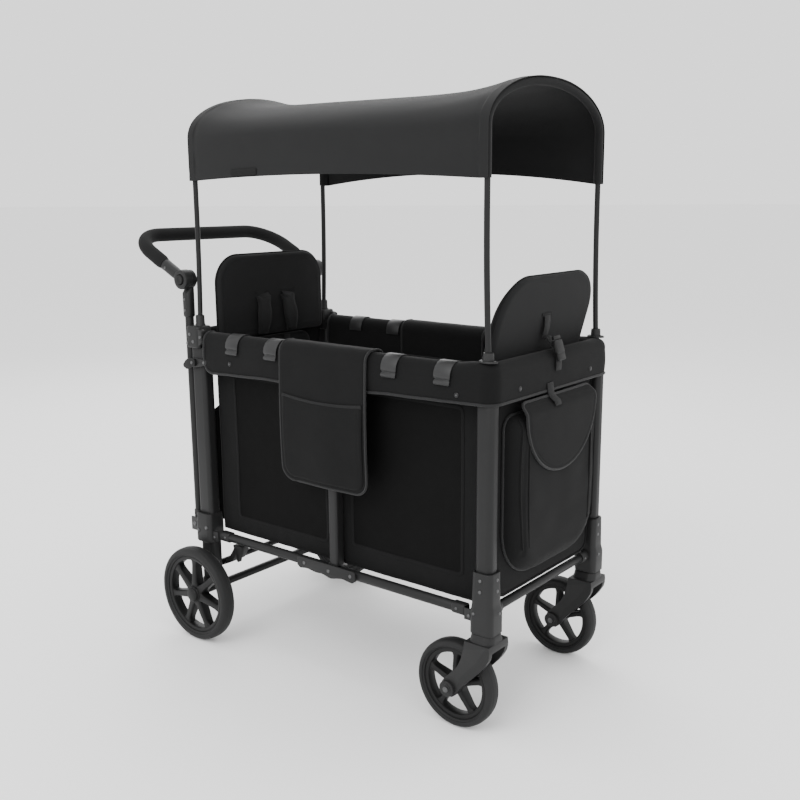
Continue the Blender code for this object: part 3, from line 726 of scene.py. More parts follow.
# ------------------------------------------------------------------ side rails, centre posts
for side, s in SIDES:
    y = s * POST_Y
    out = "+y" if s > 0 else "-y"
    inn = "-y" if s > 0 else "+y"
    add(f"look_upper_rail_rear_{side}", prism(circle(y, TOP_Z, 0.0125, 28), "x", -0.398, -0.019),
        "tube", "upper_rear", f"upper_rail_rear_{side}", "frame_tube", 0.001)
    add(f"look_upper_rail_front_{side}", prism(circle(y, TOP_Z, 0.0125, 28), "x", 0.019, 0.398),
        "tube", "upper_front", f"upper_rail_front_{side}", "frame_tube", 0.001)
    for half, body, sg in (("rear", "lower_rear", -1), ("front", "lower_front", 1)):
        a, b = sorted((sg * 0.3945, sg * 0.0160))
        add(f"look_lower_rail_{half}_{side}", prism(circle(y, LOW_Z + 0.0055, 0.0117, 32), "x", a, b),
            "tube", body, f"lower_rail_{half}_{side}", "frame_tube", 0.001)
        # moulded end fittings on the lower rails
        a, b = sorted((sg * 0.3945, sg * 0.3610))
        fit = loft([[(xx, y + p, LOW_Z + q) for p, q in rrect(0, 0.0055, w, h, 0.008, 6)] for xx, w, h in (
            (a, 0.0228, 0.0240), (a + 0.002, 0.0244, 0.0260), (b - 0.002, 0.0244, 0.0260), (b, 0.0228, 0.0240))])
        add(f"rail_fitting_{half}_{side}", fit, "casting", body, None, "moulded_plastic", 0.0006)
        rivet(body, (sg * 0.3740, y + s * 0.0122, LOW_Z + 0.006), out, 0.0034)
    # centre post and wavy hinge plate
    post = prism(rrect(0.0130, s * 0.2275, 0.0270, 0.0270, 0.006, 7), "z", 0.2960, 0.7300)
    outline = []
    top = [(0.0850, 0.2740), (0.0850, 0.2935), (0.0800, 0.2965), (0.0300, 0.2970), (-0.0050, 0.2970),
           (-0.0980, 0.2965), (-0.1040, 0.2930), (-0.1040, 0.2740)]
    n = 46
    low = []
    for k in range(n + 1):
        x = -0.104 + 0.189 * k / n
        wob = 0.0016 * math.cos((x + 0.012) * 2 * math.pi / 0.0575)
        hang = 0.0055 * math.exp(-((x + 0.0) / 0.018) ** 2)
        zz = 0.2690 + wob - hang
        ends = min(1.0, (x + 0.104) / 0.010, (0.085 - x) / 0.010)
        zz = 0.2735 + (zz - 0.2735) * smoothstep(ends)
        low.append((x, max(0.2620, zz)))
    outline = low + top
    plate = prism(outline, "y", *sorted((s * 0.2397, s * 0.2450)))
    add(f"look_centre_post_{side}", post, "tube", "centre_posts", f"centre_post_{side}",
        "frame_tube", 0.0008)
    add(f"hinge_plate_{side}", plate, "tube", "centre_posts", None, "frame_tube", 0.0008)
    for x, z in ((-0.080, 0.2830), (0.0, 0.2805), (0.070, 0.2835)):
        rivet("centre_posts", (x, s * 0.2452, z), out, 0.0046)
# small hook bracket under the near lower rail
for side, s in (("right", -1),):
    y = s * POST_Y
    hk = [(-0.352, 0.2655), (-0.318, 0.2655), (-0.322, 0.250), (-0.330, 0.232), (-0.333, 0.221),
          (-0.339, 0.2225), (-0.341, 0.238), (-0.347, 0.250)]
    add("hook_bracket_right", prism(hk, "y", y - 0.006, y + 0.006), "plastic", "lower_rear", None,
        "moulded_plastic", 0.0015)

# ------------------------------------------------------------------ handle
HX, HZ = -0.486, 0.951
ga = math.radians(27.0)


def on_grip(reach, y):
    return (HX - reach * math.cos(ga), y, HZ + reach * math.sin(ga))


def grip_path(start, half=0.240, steps=22):
    pts = [on_grip(start, -half)]
    straight = 0.229 - 0.090
    for k in range(1, 5):
        pts.append(on_grip(start + (straight - start) * k / 4, -half))
    for i in range(1, steps + 1):
        a = math.radians(90 * i / steps)
        pts.append(on_grip(straight + 0.090 * math.sin(a), -half + 0.090 * (1 - math.cos(a))))
    return pts + [(x, -y, z) for x, y, z in reversed(pts)]


for side, s in SIDES:
    y = s * POST_Y
    out = "+y" if s > 0 else "-y"
    tube_bm = prism(circle(HX, y, 0.011, 32), "z", 0.2995, 0.905)
    neck = loft([[(HX + a, y + s * dy + b, z) for a, b in rrect(0, 0, w, d, r, 8)] for z, w, d, r, dy in (
        (0.855, 0.0245, 0.0245, 0.011, 0), (0.858, 0.0275, 0.0265, 0.011, 0), (0.915, 0.0275, 0.0262, 0.010, 0),
        (0.926, 0.0260, 0.0180, 0.008, -0.0036), (0.938, 0.0250, 0.0097, 0.0040, -0.0058))])
    cheek = prism(circle(HX, HZ, 0.0235, 40), "y", *sorted((s * 0.2168, s * 0.2265)))
    add(f"look_handle_upright_{side}", tube_bm, "tube", "handle_uprights", f"handle_upright_{side}",
        "frame_tube", 0.001)
    add(f"upright_socket_{side}", combined(neck, ("+", cheek)), "casting", "handle_uprights", None,
        "moulded_plastic", 0.0016, 3)
    for z in (0.900, 0.872):
        rivet("handle_uprights", (HX, y + s * 0.0136, z), out, 0.0036)
    # foot of the upright
    add(f"upright_foot_{side}", loft([[(*p, z) for p in rrect(HX, s * 0.2275, w, w * 0.95, w * 0.35, 8)]
        for z, w in ((0.2992, 0.0225), (0.3010, 0.0245), (0.3350, 0.0245), (0.3370, 0.0228))]),
        "casting", "handle_uprights", None, "moulded_plastic", 0.0)
    # hub disc with a turned face, and the arm that leaves it
    yi, yo = 0.2280, 0.2525
    prof = [(0.0, yi), (0.0235, yi), (0.0250, yi + 0.0015), (0.0250, yo - 0.0035), (0.0243, yo - 0.0013),
            (0.0225, yo - 0.0002), (0.0165, yo), (0.0140, yo - 0.0006), (0.0126, yo - 0.0025),
            (0.0126, 0.2450), (0.0, 0.2450)]
    hub = revolve([(r, s * yy) for r, yy in prof], (HX, 0, HZ), 56, closed=False)
    arm = loft([[tuple(Vector(on_grip(reach, s * 0.240)) + Vector((math.sin(ga) * a, b, math.cos(ga) * a)))
                 for a, b in rrect(0, 0, h, w, r, 8)] for reach, h, w, r in (
        (0.012, 0.0270, 0.0200, 0.008), (0.028, 0.0285, 0.0225, 0.0095), (0.040, 0.0290, 0.0262, 0.0115),
        (0.0655, 0.0290, 0.0270, 0.0125), (0.0740, 0.0300, 0.0285, 0.0135), (0.0770, 0.0290, 0.0275, 0.0135))])
    add(f"grip_hub_{side}", hub, "casting", "handle_grip", "grip_tube" if s > 0 else None,
        "moulded_plastic", smooth=30)
    add(f"grip_arm_{side}", arm, "casting", "handle_grip", None, "moulded_plastic", 0.0012)
    p = Vector(on_grip(0.062, s * 0.240))
    button_head(p + Vector((0, s * 0.0137, 0)), out, 0.0034, 0.0018, bag.get("handle_grip", "rivet"))
    prof = [(0.0, 0.2478), (0.0118, 0.2478), (0.0118, 0.2540), (0.0110, 0.2552), (0.0095, 0.2555),
            (0.0060, 0.2549), (0.0030, 0.2546), (0.0, 0.2545)]
    add(f"look_hub_button_{side}", revolve([(r, s * yy) for r, yy in prof], (HX, 0, HZ), 44, closed=False),
        "plastic", f"hub_button_{side}", f"hub_button_{side}", "moulded_plastic", smooth=35)
add("look_grip_tube", tube(grip_path(0.030), 0.0118, 20), "tube", "handle_grip", None, "frame_tube")
gp = grip_path(0.0775)
gn = len(gp)
add("look_foam_grip", tube(gp, lambda t: 0.0180 - 0.0035 * math.exp(-(min(t, 1 - t) * gn / 0.25) ** 2), 28),
    "foam", "handle_grip", "foam_grip", "foam")

# ------------------------------------------------------------------ wheels
def tyre(centre, r, w, depth, name, body, node):
    h = w / 2
    prof = [(r - depth, -h * 0.70), (r - depth * 0.92, -h * 0.80), (r - depth * 0.80, -h * 0.84),
            (r - depth * 0.74, -h * 0.965), (r - depth * 0.62, -h), (r - depth * 0.48, -h * 0.995),
            (r - depth * 0.34, -h * 0.955), (r - depth * 0.20, -h * 0.86), (r - depth * 0.10, -h * 0.70),
            (r - depth * 0.045, -h * 0.52), (r - depth * 0.035, -h * 0.38), (r - depth * 0.012, -h * 0.34),
            (r - 0.0002, -h * 0.16), (r, 0)]
    prof = prof + [(a, -b) for a, b in reversed(prof[:-1])]
    add(name, revolve(prof, centre, 120), "tyre", body, node, "tyre", smooth=40)


def rim(centre, r, w, spokes, hub_r, a0, name, body, node, bore):
    x, y, z = centre
    ring = [(r - 0.0105, -w * 0.30), (r - 0.0095, -w * 0.345), (r - 0.0060, -w * 0.375), (r - 0.0015, -w * 0.385),
            (r, -w * 0.36), (r, w * 0.36), (r - 0.0015, w * 0.385), (r - 0.0060, w * 0.375),
            (r - 0.0095, w * 0.345), (r - 0.0105, w * 0.30)]
    band = revolve(ring, centre, 96)
    hub = revolve([(bore, -w / 2), (hub_r - 0.0015, -w / 2), (hub_r, -w / 2 + 0.0015),
                   (hub_r + 0.001, 0), (hub_r, w / 2 - 0.0015), (hub_r - 0.0015, w / 2), (bore, w / 2)],
                  centre, 48)
    bms = [band, hub]
    for k in range(spokes):
        a = a0 + 2 * math.pi * k / spokes
        d = Vector((math.cos(a), 0, math.sin(a)))
        nrm = Vector((-math.sin(a), 0, math.cos(a)))
        c = Vector(centre)
        secs = []
        steps = 12
        r0, r1 = hub_r * 0.80, r - 0.0085
        for i in range(steps + 1):
            t = i / steps
            rr = r0 + (r1 - r0) * t
            half = hub_r * (0.46 - 0.11 * t) + 0.0065 * max(0, 1 - t / 0.22) ** 2 + 0.0075 * max(0, (t - 0.76) / 0.24) ** 2
            dep = w * (0.42 - 0.12 * t)
            sec = []
            for p, q in rrect(0, 0, 2 * half, 2 * dep, min(half, dep) * 0.55, 5):
                sec.append(c + d * rr + nrm * p + Vector((0, q, 0)))
            secs.append(sec)
        bms.append(loft(secs))
    add(name, join_bm(*bms), "rimplastic", body, node, "moulded_plastic", smooth=40)


fx, fr = 0.3685, 0.1016
for side, s in SIDES:
    y = s * 0.224
    wb = f"front_wheel_{side}"
    tyre((fx, y, fr), 0.1016, 0.038, 0.0185, f"look_front_tyre_{side}", wb, f"front_tyre_{side}")
    rim((fx, y, fr), 0.1016 - 0.0189, 0.034, 5, 0.017, math.radians(90), f"look_front_rim_{side}", wb,
        f"front_rim_{side}", 0.0054)
    # fork: broad smooth legs, rounded front bump
    leg = [(0.4155, 0.2425), (0.4320, 0.2425), (0.4680, 0.2425), (0.4725, 0.2365), (0.4752, 0.2250),
           (0.4765, 0.2140), (0.4760, 0.2050), (0.4735, 0.1950), (0.4680, 0.1850), (0.4610, 0.1745),
           (0.4525, 0.1640), (0.4400, 0.1505), (0.4280, 0.1385), (0.4140, 0.1242), (0.4000, 0.1090),
           (0.3945, 0.1000), (0.3885, 0.0905), (0.3800, 0.0835), (0.3685, 0.0810), (0.3570, 0.0845),
           (0.3500, 0.0930), (0.3485, 0.1040), (0.3530, 0.1150), (0.3600, 0.1240), (0.3685, 0.1330),
           (0.3790, 0.1440), (0.3900, 0.1560), (0.3970, 0.1680), (0.4020, 0.1800), (0.4060, 0.1940),
           (0.4095, 0.2080), (0.4115, 0.2250)]
    crown = [(0.4095, 0.2080), (0.4115, 0.2250), (0.4155, 0.2425), (0.4680, 0.2425), (0.4725, 0.2365),
             (0.4752, 0.2250), (0.4765, 0.2140), (0.4762, 0.2080)]
    a, b, t = y - 0.0372, y + 0.0372, 0.0125
    head = loft([[(*q, z) for q in rrect(cx, y + oy, w, d, r, 12)] for z, cx, w, d, r, oy in (
        (0.2425, POST_X + 0.0005, 0.0560, 0.0500, 0.0170, s * 0.0020), (0.2410, POST_X + 0.0005, 0.0580, 0.0520, 0.0180, s * 0.0020),
        (0.2330, POST_X + 0.0004, 0.0600, 0.0560, 0.0190, s * 0.0015), (0.2240, POST_X - 0.0002, 0.0620, 0.0640, 0.0200, s * 0.0005),
        (0.2140, POST_X - 0.0012, 0.0636, 0.0700, 0.0210, 0.0), (0.2060, POST_X - 0.0030, 0.0640, 0.0700, 0.0210, 0.0))])
    low_leg = [q for q in leg if q[1] < 0.232]
    low_crown = [q for q in crown if q[1] < 0.232]
    bm = combined(prism(low_leg, "y", a, a + t), ("+", prism(low_leg, "y", b - t, b)),
                  ("+", prism(low_crown, "y", a + 0.001, b - 0.001)), ("+", head),
                  ("+", prism(circle(fx, fr, 0.0185, 40), "y", y - 0.0440, y - 0.0250)),
                  ("+", prism(circle(fx, fr, 0.0185, 40), "y", y + 0.0250, y + 0.0440)),
                  ("+", prism(circle(fx, fr, 0.0050, 20), "y", a + 0.001, b - 0.001)))
    add(f"look_caster_fork_{side}", bm, "casting", f"caster_{side}", f"caster_fork_{side}",
        "moulded_plastic", 0.0036, 4, 40, 42)
    for e, yy in (("-y", y - 0.0440), ("+y", y + 0.0440)):
        d = -1 if e == "-y" else 1
        washer = revolve([(0.0, yy + d * 0.0), (0.0110, yy), (0.0112, yy + d * 0.0008), (0.0100, yy + d * 0.0012),
                          (0.0, yy + d * 0.0012)], (fx, 0, fr), 32, closed=False)
        add(f"axle_washer_{side}_{'in' if (d * s) < 0 else 'out'}", washer, "bolt", f"caster_{side}", None, "frame_tube")
        hexa = prism(circle(fx, fr, 0.0072, 6), "y", *sorted((yy + d * 0.0010, yy + d * 0.0042)))
        add(f"axle_bolt_{side}_{'in' if (d * s) < 0 else 'out'}", hexa, "rivet", f"caster_{side}", None,
            "frame_tube", 0.0008)
    # parting line ring at the swivel
    add(f"swivel_collar_{side}", prism(rrect(POST_X, y - s * 0.0 + s * 0.0035, 0.0500, 0.0440, 0.016, 9),
        "z", 0.24255, 0.2434), "plastic", "front_frame", None, "moulded_plastic")

for side, s in SIDES:
    y = s * 0.281
    wb = f"rear_wheel_{side}"
    c = (-0.4425, y, 0.126)
    tyre(c, 0.126, 0.040, 0.0220, f"look_rear_tyre_{side}", wb, f"rear_tyre_{side}")
    rim(c, 0.126 - 0.0224, 0.036, 7, 0.022, math.radians(90), f"look_rear_rim_{side}", wb,
        f"rear_rim_{side}", 0.0079)
    yy = 0.2990
    prof = [(0.0, 0.0125), (0.0070, 0.0122), (0.0130, 0.0108), (0.0172, 0.0080), (0.0188, 0.0042), (0.0190, 0.0)]
    cap = revolve([(r, s * (yy + h * 0.62)) for r, h in prof], (-0.4425, 0, 0.126), 48, closed=False)
    add(f"hub_cap_{side}", cap, "rimplastic", wb, None, "moulded_plastic", smooth=50)
    tab = prism([(-0.4545, 0.1465), (-0.4500, 0.1480), (-0.4350, 0.1480), (-0.4305, 0.1465), (-0.4330, 0.1400),
                 (-0.4520, 0.1400)], "y", *sorted((s * 0.2960, s * 0.3000)))
    add(f"release_tab_{side}", tab, "plastic", wb, None, "moulded_plastic", 0.001)
bag.flush()
print("hard parts done")


# ------------------------------------------------------------------ soft goods
def soft(name, bm, mat, body=None, replaces=(), slot="body_fabric", **kw):
    kw.setdefault("smooth", 60)
    return add(name, bm, mat, body, replaces, slot, **kw)


def rim_low(x):
    """Lower edge of the rim cover, which rises a little toward the caster end."""
    return 0.722 + 0.0235 * min(1.0, max(0.0, (x + 0.405) / 0.845))


def channel(outer, inner, zlow, seed=0, amp=0.010, thick=0.0032, z_top=None, crown=0.0260):
    """A padded cover over a rail: an upside-down U between an outer and an inner line."""
    rows = []
    m = len(outer)
    n = 12
    for i in range(m):
        o, q = Vector((*outer[i], 0)), Vector((*inner[i], 0))
        wid = (o - q).length
        zl, zt = zlow(i), z_top(i)
        sec = []
        for k in range(n + 1):
            t = k / n
            f = 0.958 + 0.042 * math.sin(math.pi * min(1.0, t * 1.05)) ** 0.8 if t < 0.95 else 0.970
            z = zl + (zt - crown - zl) * t
            f2 = f + amp * (noise.noise(Vector((o.x * 22 + seed, o.y * 22, z * 26))) +
                            0.6 * noise.noise(Vector((o.x * 60 + seed, o.y * 60, z * 14)))) * math.sin(math.pi * t)
            sec.append((f2, z))
        for k in range(1, 8):
            a = math.radians(90 * k / 8)
            sec.append((0.5 + 0.470 * math.cos(a) ** 0.9, zt - crown + crown * math.sin(a)))
        shell = sec + [(0.5, zt + 0.0002)] + [(1 - f, z) for f, z in reversed(sec)]
        k_ = 1 - 2 * thick / wid
        zc = zt - crown
        back = []
        for f, z in reversed(shell):
            zz = z if z <= zc else zc + (z - zc) * (1 - thick / crown)
            back.append((0.5 + (f - 0.5) * k_, zz))
        rows.append([tuple(q + (o - q) * f + Vector((0, 0, z))) for f, z in shell + back])
    return rows, len(shell)


def side_curves(s):
    n = 110
    xs = [-0.405 + 0.026 * 0.5 * (1 - math.cos(math.pi * k / 12)) for k in range(12)]
    xs += [-0.379 + (0.347 + 0.379) * k / n for k in range(n + 1)]
    return ([(x, s * 0.2530) for x in xs], [(x, s * 0.2020) for x in xs], xs)


for side, s in SIDES:
    outer, inner, xs = side_curves(s)
    R = 0.026

    def zlow(i, xs=xs):
        x = xs[i]
        if x < -0.405 + R:
            return rim_low(x) + R - math.sqrt(max(0.0, R * R - (x + 0.405 - R) ** 2))
        return rim_low(x) + 0.0012 * math.sin(x * 38) * math.sin(x * 11)
    rows, ns = channel(outer, inner, zlow, 3 + s, z_top=lambda i: 0.8225)
    cover = soft(f"rim_pad_{side}", loft(rows), "rim", None, f"rim_cover_{side}")
    # piping: along the lower outer edge, up the rear end, over and down inside
    path = [rows[i][0] for i in range(len(rows) - 1, 0, -1)]
    path += [rows[0][k] for k in range(0, ns)]
    path += [rows[i][ns - 1] for i in range(1, len(rows))]
    path = [tuple(Vector(p) + Vector((0, s * 0.0006 if abs(p[1]) > 0.2275 else -s * 0.0006, -0.0008))) for p in path]
    keep = [path[0]]
    for p in path[1:]:
        if (Vector(p) - Vector(keep[-1])).length > 0.0025:
            keep.append(p)
    pip = soft(f"rim_piping_{side}", tube(keep, 0.0032, 10), "piping")
    for o in (cover, pip):
        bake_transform(o)
# rim over the caster end, round both corners
def front_curve():
    outer, inner = [], []
    na, nb, nc = 12, 14, 56
    for k in range(na):
        t = k / na
        outer.append((0.347 + (0.439 - 0.347) * t, -0.2530))
        inner.append((0.347 + (0.422 - 0.347) * t, -0.2020))
    for k in range(nb):
        a = math.radians(90 * k / nb)
        outer.append((0.439 + 0.034 * math.sin(a), -0.219 - 0.034 * math.cos(a)))
        inner.append((0.422 + 0.006 * math.sin(a), -0.196 - 0.006 * math.cos(a)))
    for k in range(nc + 1):
        t = k / nc
        outer.append((0.473, -0.219 + 0.438 * t))
        inner.append((0.428, -0.196 + 0.392 * t))
    full_o = outer + [(x, -y) for x, y in reversed(outer[:na + nb])]
    full_i = inner + [(x, -y) for x, y in reversed(inner[:na + nb])]
    return full_o, full_i


fo, fi = front_curve()
rows, ns = channel(fo, fi, lambda i: rim_low(fo[i][0]), 9.5, z_top=lambda i: 0.8225 + 0.0065 * smoothstep((fo[i][0] - 0.355) / 0.070),
                   crown=0.0220)
front_rim = soft("rim_pad_front", loft(rows), "rim", None, "front_end_panel")
pin = []
for line, k in (("o", 0), ("i", ns - 1)):
    pth = []
    for i, r in enumerate(rows):
        p = Vector(r[k])
        p.z -= 0.0008
        if not pth or (p - Vector(pth[-1])).length > 0.002:
            pth.append(tuple(p))
    pin.append(tube(pth, 0.0032, 10))
front_pip = soft("rim_piping_front", join_bm(*pin), "piping")
# the rim over the front end runs round the end frame; it and its piping have their placement baked into their meshes
for o in (front_rim, front_pip):
    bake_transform(o)

# rear rim bar
rows, ns = channel([(-0.4722, -0.2035 + 0.407 * k / 60) for k in range(61)],
                   [(-0.4428, -0.2035 + 0.407 * k / 60) for k in range(61)], lambda i: 0.7225, 5.5, 0.012,
                   z_top=lambda i: 0.8270, crown=0.0150)
rear_rim = soft("rim_pad_rear", loft(rows), "rim", "rear_frame", "rear_end_panel")
soft("rim_piping_rear", join_bm(*[tube([tuple(Vector(r[k]) + Vector((0, 0, -0.0008))) for r in rows], 0.0030, 10)
                                  for k in (0, ns - 1)]), "piping", "rear_frame")

# snap buttons
sn = Bag()
def snap(body, c, axis):
    button_head(c, axis, 0.0056, 0.0020, sn.get(body, "bolt"), 22)
    d = {"x": Vector((1, 0, 0)), "y": Vector((0, 1, 0))}[axis[1]] * (1 if axis[0] == "+" else -1)
    button_head(Vector(c) + d * 0.0016, axis, 0.0020, 0.0010, sn.get(body, "rivet"), 16)


for side, s in SIDES:
    out = "+y" if s > 0 else "-y"
    snap("upper_rear", (-0.310, s * 0.2532, 0.752), out)
    snap("upper_front", (0.383, s * 0.2532, 0.759), out)
for y in (-0.152, 0.152):
    snap("front_frame", (0.4732, y, 0.767), "+x")
    snap("rear_frame", (-0.4724, y, 0.767), "-x")
for (body, mat), bm in sn.items.items():
    add(f"snap_{mat}_{body}", bm, mat, body, None, "moulded_plastic", smooth=50)

# metal clips over the rim
for side, s in SIDES:
    for k, (x, body) in enumerate(((-0.298, "upper_rear"), (-0.163, "upper_rear"), (0.203, "upper_front"),
                                   (0.347, "upper_front"))):
        sec = [(0.2000, 0.7880), (0.1998, 0.7960), (0.2015, 0.8050), (0.2060, 0.8140), (0.2130, 0.8205),
               (0.2205, 0.8238), (0.2280, 0.8246), (0.2355, 0.8236), (0.2430, 0.8198), (0.2500, 0.8135),
               (0.2548, 0.8050), (0.2566, 0.7970), (0.2565, 0.7925), (0.2553, 0.7898), (0.2545, 0.7882),
               (0.2548, 0.7866), (0.2566, 0.7848), (0.2584, 0.7822), (0.2586, 0.7795), (0.2572, 0.7772),
               (0.2552, 0.7760)]
        wid = [0.043] * 12 + [0.0425, 0.0385, 0.0372, 0.0375, 0.0405, 0.0415, 0.0410, 0.0385, 0.0330]
        pts = [(x, s * yy, zz) for yy, zz in sec]
        nr = []
        for i in range(len(pts)):
            a, b = Vector(pts[max(0, i - 1)]), Vector(pts[min(len(pts) - 1, i + 1)])
            t = (b - a).normalized()
            nr.append(tuple(Vector((1, 0, 0)).cross(t) * (-s)))
        add(f"rim_clip_{side}_{k}", ribbon(pts, nr, wid, 0.0018), "clip", body, None, "frame_tube",
            0.0004, 2, smooth=40)

# organiser flaps
FR, FA = 0.026, 0.026 * math.pi / 2
FS = 0.3055
FL = FS + FA + 0.0125 + FA + 0.0635


def flap_at(sgn, L, h, x):
    """Point on the flap's line at length L from the lower edge of its outer leg."""
    r, zc = FR, 0.495 + FS
    if L <= FS:
        y, z, ny, nz = 0.2595, 0.495 + L, 1, 0
    elif L <= FS + FA:
        a = (L - FS) / r
        y, z, ny, nz = 0.2335 + r * math.cos(a), zc + r * math.sin(a), math.cos(a), math.sin(a)
    elif L <= FS + FA + 0.0125:
        y, z, ny, nz = 0.2335 - (L - FS - FA), zc + r, 0, 1
    elif L <= FS + 2 * FA + 0.0125:
        a = math.pi / 2 + (L - FS - FA - 0.0125) / r
        y, z, ny, nz = 0.2210 + r * math.cos(a), zc + r * math.sin(a), math.cos(a), math.sin(a)
    else:
        y, z, ny, nz = 0.195, zc - (L - FS - 2 * FA - 0.0125), -1, 0
    hang = 0.0
    if L < 0.29:
        hang = 0.0035 * math.sin(math.pi * L / 0.30) + 0.0016 * math.sin(x * 34 + 1) * (1 - L / 0.29)
    return (x, sgn * (y + ny * h + hang), z + nz * h)


for side, s in SIDES:
    def fe(v):
        a, b, r = -0.125, 0.140, 0.035
        if v < r:
            k = r - math.sqrt(max(0.0, r * r - (r - v) ** 2))
            return a + k, b - k
        return a, b

    def f3(u, v, h, s=s):
        return flap_at(s, v, h, u)
    bm = pad(fe, 0.0, FL, f3, 0.0019, 0.0017, 0.005, 44, 96,
             lambda u, v, d: wrinkle(u, v, 4 + s, 12, 0.0007), (ring_groove(0.0075, 0.0008, 0.0016),), 0.25)
    fl = soft(f"organiser_flap_{side}", bm, "body", "centre_posts", f"rim_flap_{side}")
    edge = outline_path(fe, 0.0, FL, f3, 0.0003, 90)
    bottom = [f3(0.140 - 0.035 - (0.195) * k / 12, 0.0, 0.0003) for k in range(13)]
    soft(f"organiser_piping_{side}", tube(edge + bottom[1:-1], 0.0029, 10, closed=True), "piping", "centre_posts")

    # its pocket
    def pe(v):
        a, b, r = -0.1165, 0.1315, 0.030
        if v < 0.009 + r:
            k = r - math.sqrt(max(0.0, r * r - (0.009 + r - v) ** 2))
            return a + k, b - k
        return a, b

    def p3(u, v, h, s=s):
        t = (v - 0.009) / 0.198
        sag = 0.0085 * (1 - ((u - 0.0075) / 0.124) ** 2) * t * t
        return flap_at(s, v - sag, 0.0019 + h + 0.0026 * max(0, math.sin(math.pi * min(1, t * 0.92))), u)
    pk = pad(pe, 0.009, 0.207, p3, 0.0022, 0.0012, 0.004, 44, 50,
             lambda u, v, d: wrinkle(u, v, 14 + s, 11, 0.0008), (ring_groove(0.0085, 0.0006, 0.0014),), 0.25)
    pko = soft(f"organiser_pocket_{side}", pk, "body", "centre_posts")
    hem = [p3(-0.1165 + 0.248 * k / 30, 0.207, 0.0012) for k in range(31)]
    soft(f"organiser_hem_{side}", ribbon(hem, (0, s, 0), 0.0085, 0.0014), "strap", "centre_posts")

# side fabric, with two net windows each side
WIN = ((-0.350, -0.035, 0.336, 0.712), (0.046, 0.366, 0.346, 0.722))


def in_window(x, z, grow=0.0):
    for a, b, c, d in WIN:
        r = 0.012
        if a - grow < x < b + grow and c - grow < z < d + grow:
            cx, cz = min(max(x, a + r), b - r), min(max(z, c + r), d - r)
            if (x - cx) ** 2 + (z - cz) ** 2 < (r + grow) ** 2:
                return True
    return False


for side, s in SIDES:
    def wall_y(x, z, s=s):
        b = 0.0018 * noise.noise(Vector((x * 9, z * 9, 4 + s))) + 0.0007 * noise.noise(Vector((x * 40, z * 30, s)))
        b -= 0.0030 * math.sin(math.pi * min(1, max(0, (z - 0.295) / 0.427))) * abs(math.sin(math.pi * (x + 0.411) / 0.411))
        return s * (0.2052 + b)
    nx, nz = 150, 78
    bm = bmesh.new()
    lay = []
    for h in (0.0005, -0.0005):
        grid = [[bm.verts.new((x := -0.411 + 0.822 * i / nx, wall_y(x, z := 0.295 + (rim_low(x) - 0.0015 - 0.295) * j / nz) + s * h, z))
                 for i in range(nx + 1)] for j in range(nz + 1)]
        lay.append(grid)
    marks = []
    for g, flip in ((lay[0], False), (lay[1], True)):
        for j in range(nz):
            for i in range(nx):
                q = (g[j][i], g[j][i + 1], g[j + 1][i + 1], g[j + 1][i])
                f = bm.faces.new(q[::-1] if flip else q)
                c = f.calc_center_median()
                f.material_index = 1 if in_window(c.x, c.z, 0.002) else 0
    for j in range(nz):
        for i in (0, nx):
            bm.faces.new((lay[0][j][i], lay[0][j + 1][i], lay[1][j + 1][i], lay[1][j][i]))
    for i in range(nx):
        for j in (0, nz):
            bm.faces.new((lay[0][j][i], lay[0][j][i + 1], lay[1][j][i + 1], lay[1][j][i]))
    wall = soft(f"side_fabric_{side}", bm, None, "rear_frame",
                (f"side_wall_rear_{side}", f"side_wall_front_{side}"), "mesh_fabric", mats=["body", "mesh"])
    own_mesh(wall)
    trims = []
    for a, b, c, d in WIN:
        for off in (0.0011, -0.0011):
            ring = [(x, wall_y(x, z) + s * off, z) for x, z in
                    rrect((a + b) / 2, (c + d) / 2, b - a, d - c, 0.012, 10)]
            loop = []
            for p, q in zip(ring, ring[1:] + ring[:1]):
                P, Q = Vector(p), Vector(q)
                m = max(1, int((Q - P).length / 0.012))
                for k in range(m):
                    w = P.lerp(Q, k / m)
                    loop.append((w.x, wall_y(w.x, w.z) + s * off, w.z))
            loop.append(loop[0])
            loop.append(loop[1])
            trims.append(ribbon(loop, (0, s, 0), 0.0080, 0.0011))
    tr = soft(f"window_binding_{side}", join_bm(*trims), "rim", "rear_frame", slot="body_fabric")
    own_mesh(tr)
    edges = []
    for x in (-0.410, 0.410):
        edges.append(tube([(x, wall_y(x, 0.295 + (rim_low(x) - 0.297) * k / 30), 0.295 + (rim_low(x) - 0.297) * k / 30)
                           for k in range(31)], 0.0026, 8))
    for z in (0.2955,):
        edges.append(tube([(-0.411 + 0.822 * k / 80, wall_y(-0.411 + 0.822 * k / 80, z), z) for k in range(81)], 0.0024, 8))
    ed = soft(f"side_edge_binding_{side}", join_bm(*edges), "rim", "rear_frame")
    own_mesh(ed)
    # webbing that runs along the inside
    web = [(0.035 + 0.365 * k / 60, wall_y(0.035 + 0.365 * k / 60, 0.5) - s * 0.0032,
            0.508 - 0.016 * math.sin(math.pi * k / 60)) for k in range(61)]
    wb = soft(f"inner_webbing_{side}", ribbon(web, (0, s, 0), 0.025, 0.0014), "strap", "rear_frame")
    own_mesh(wb)

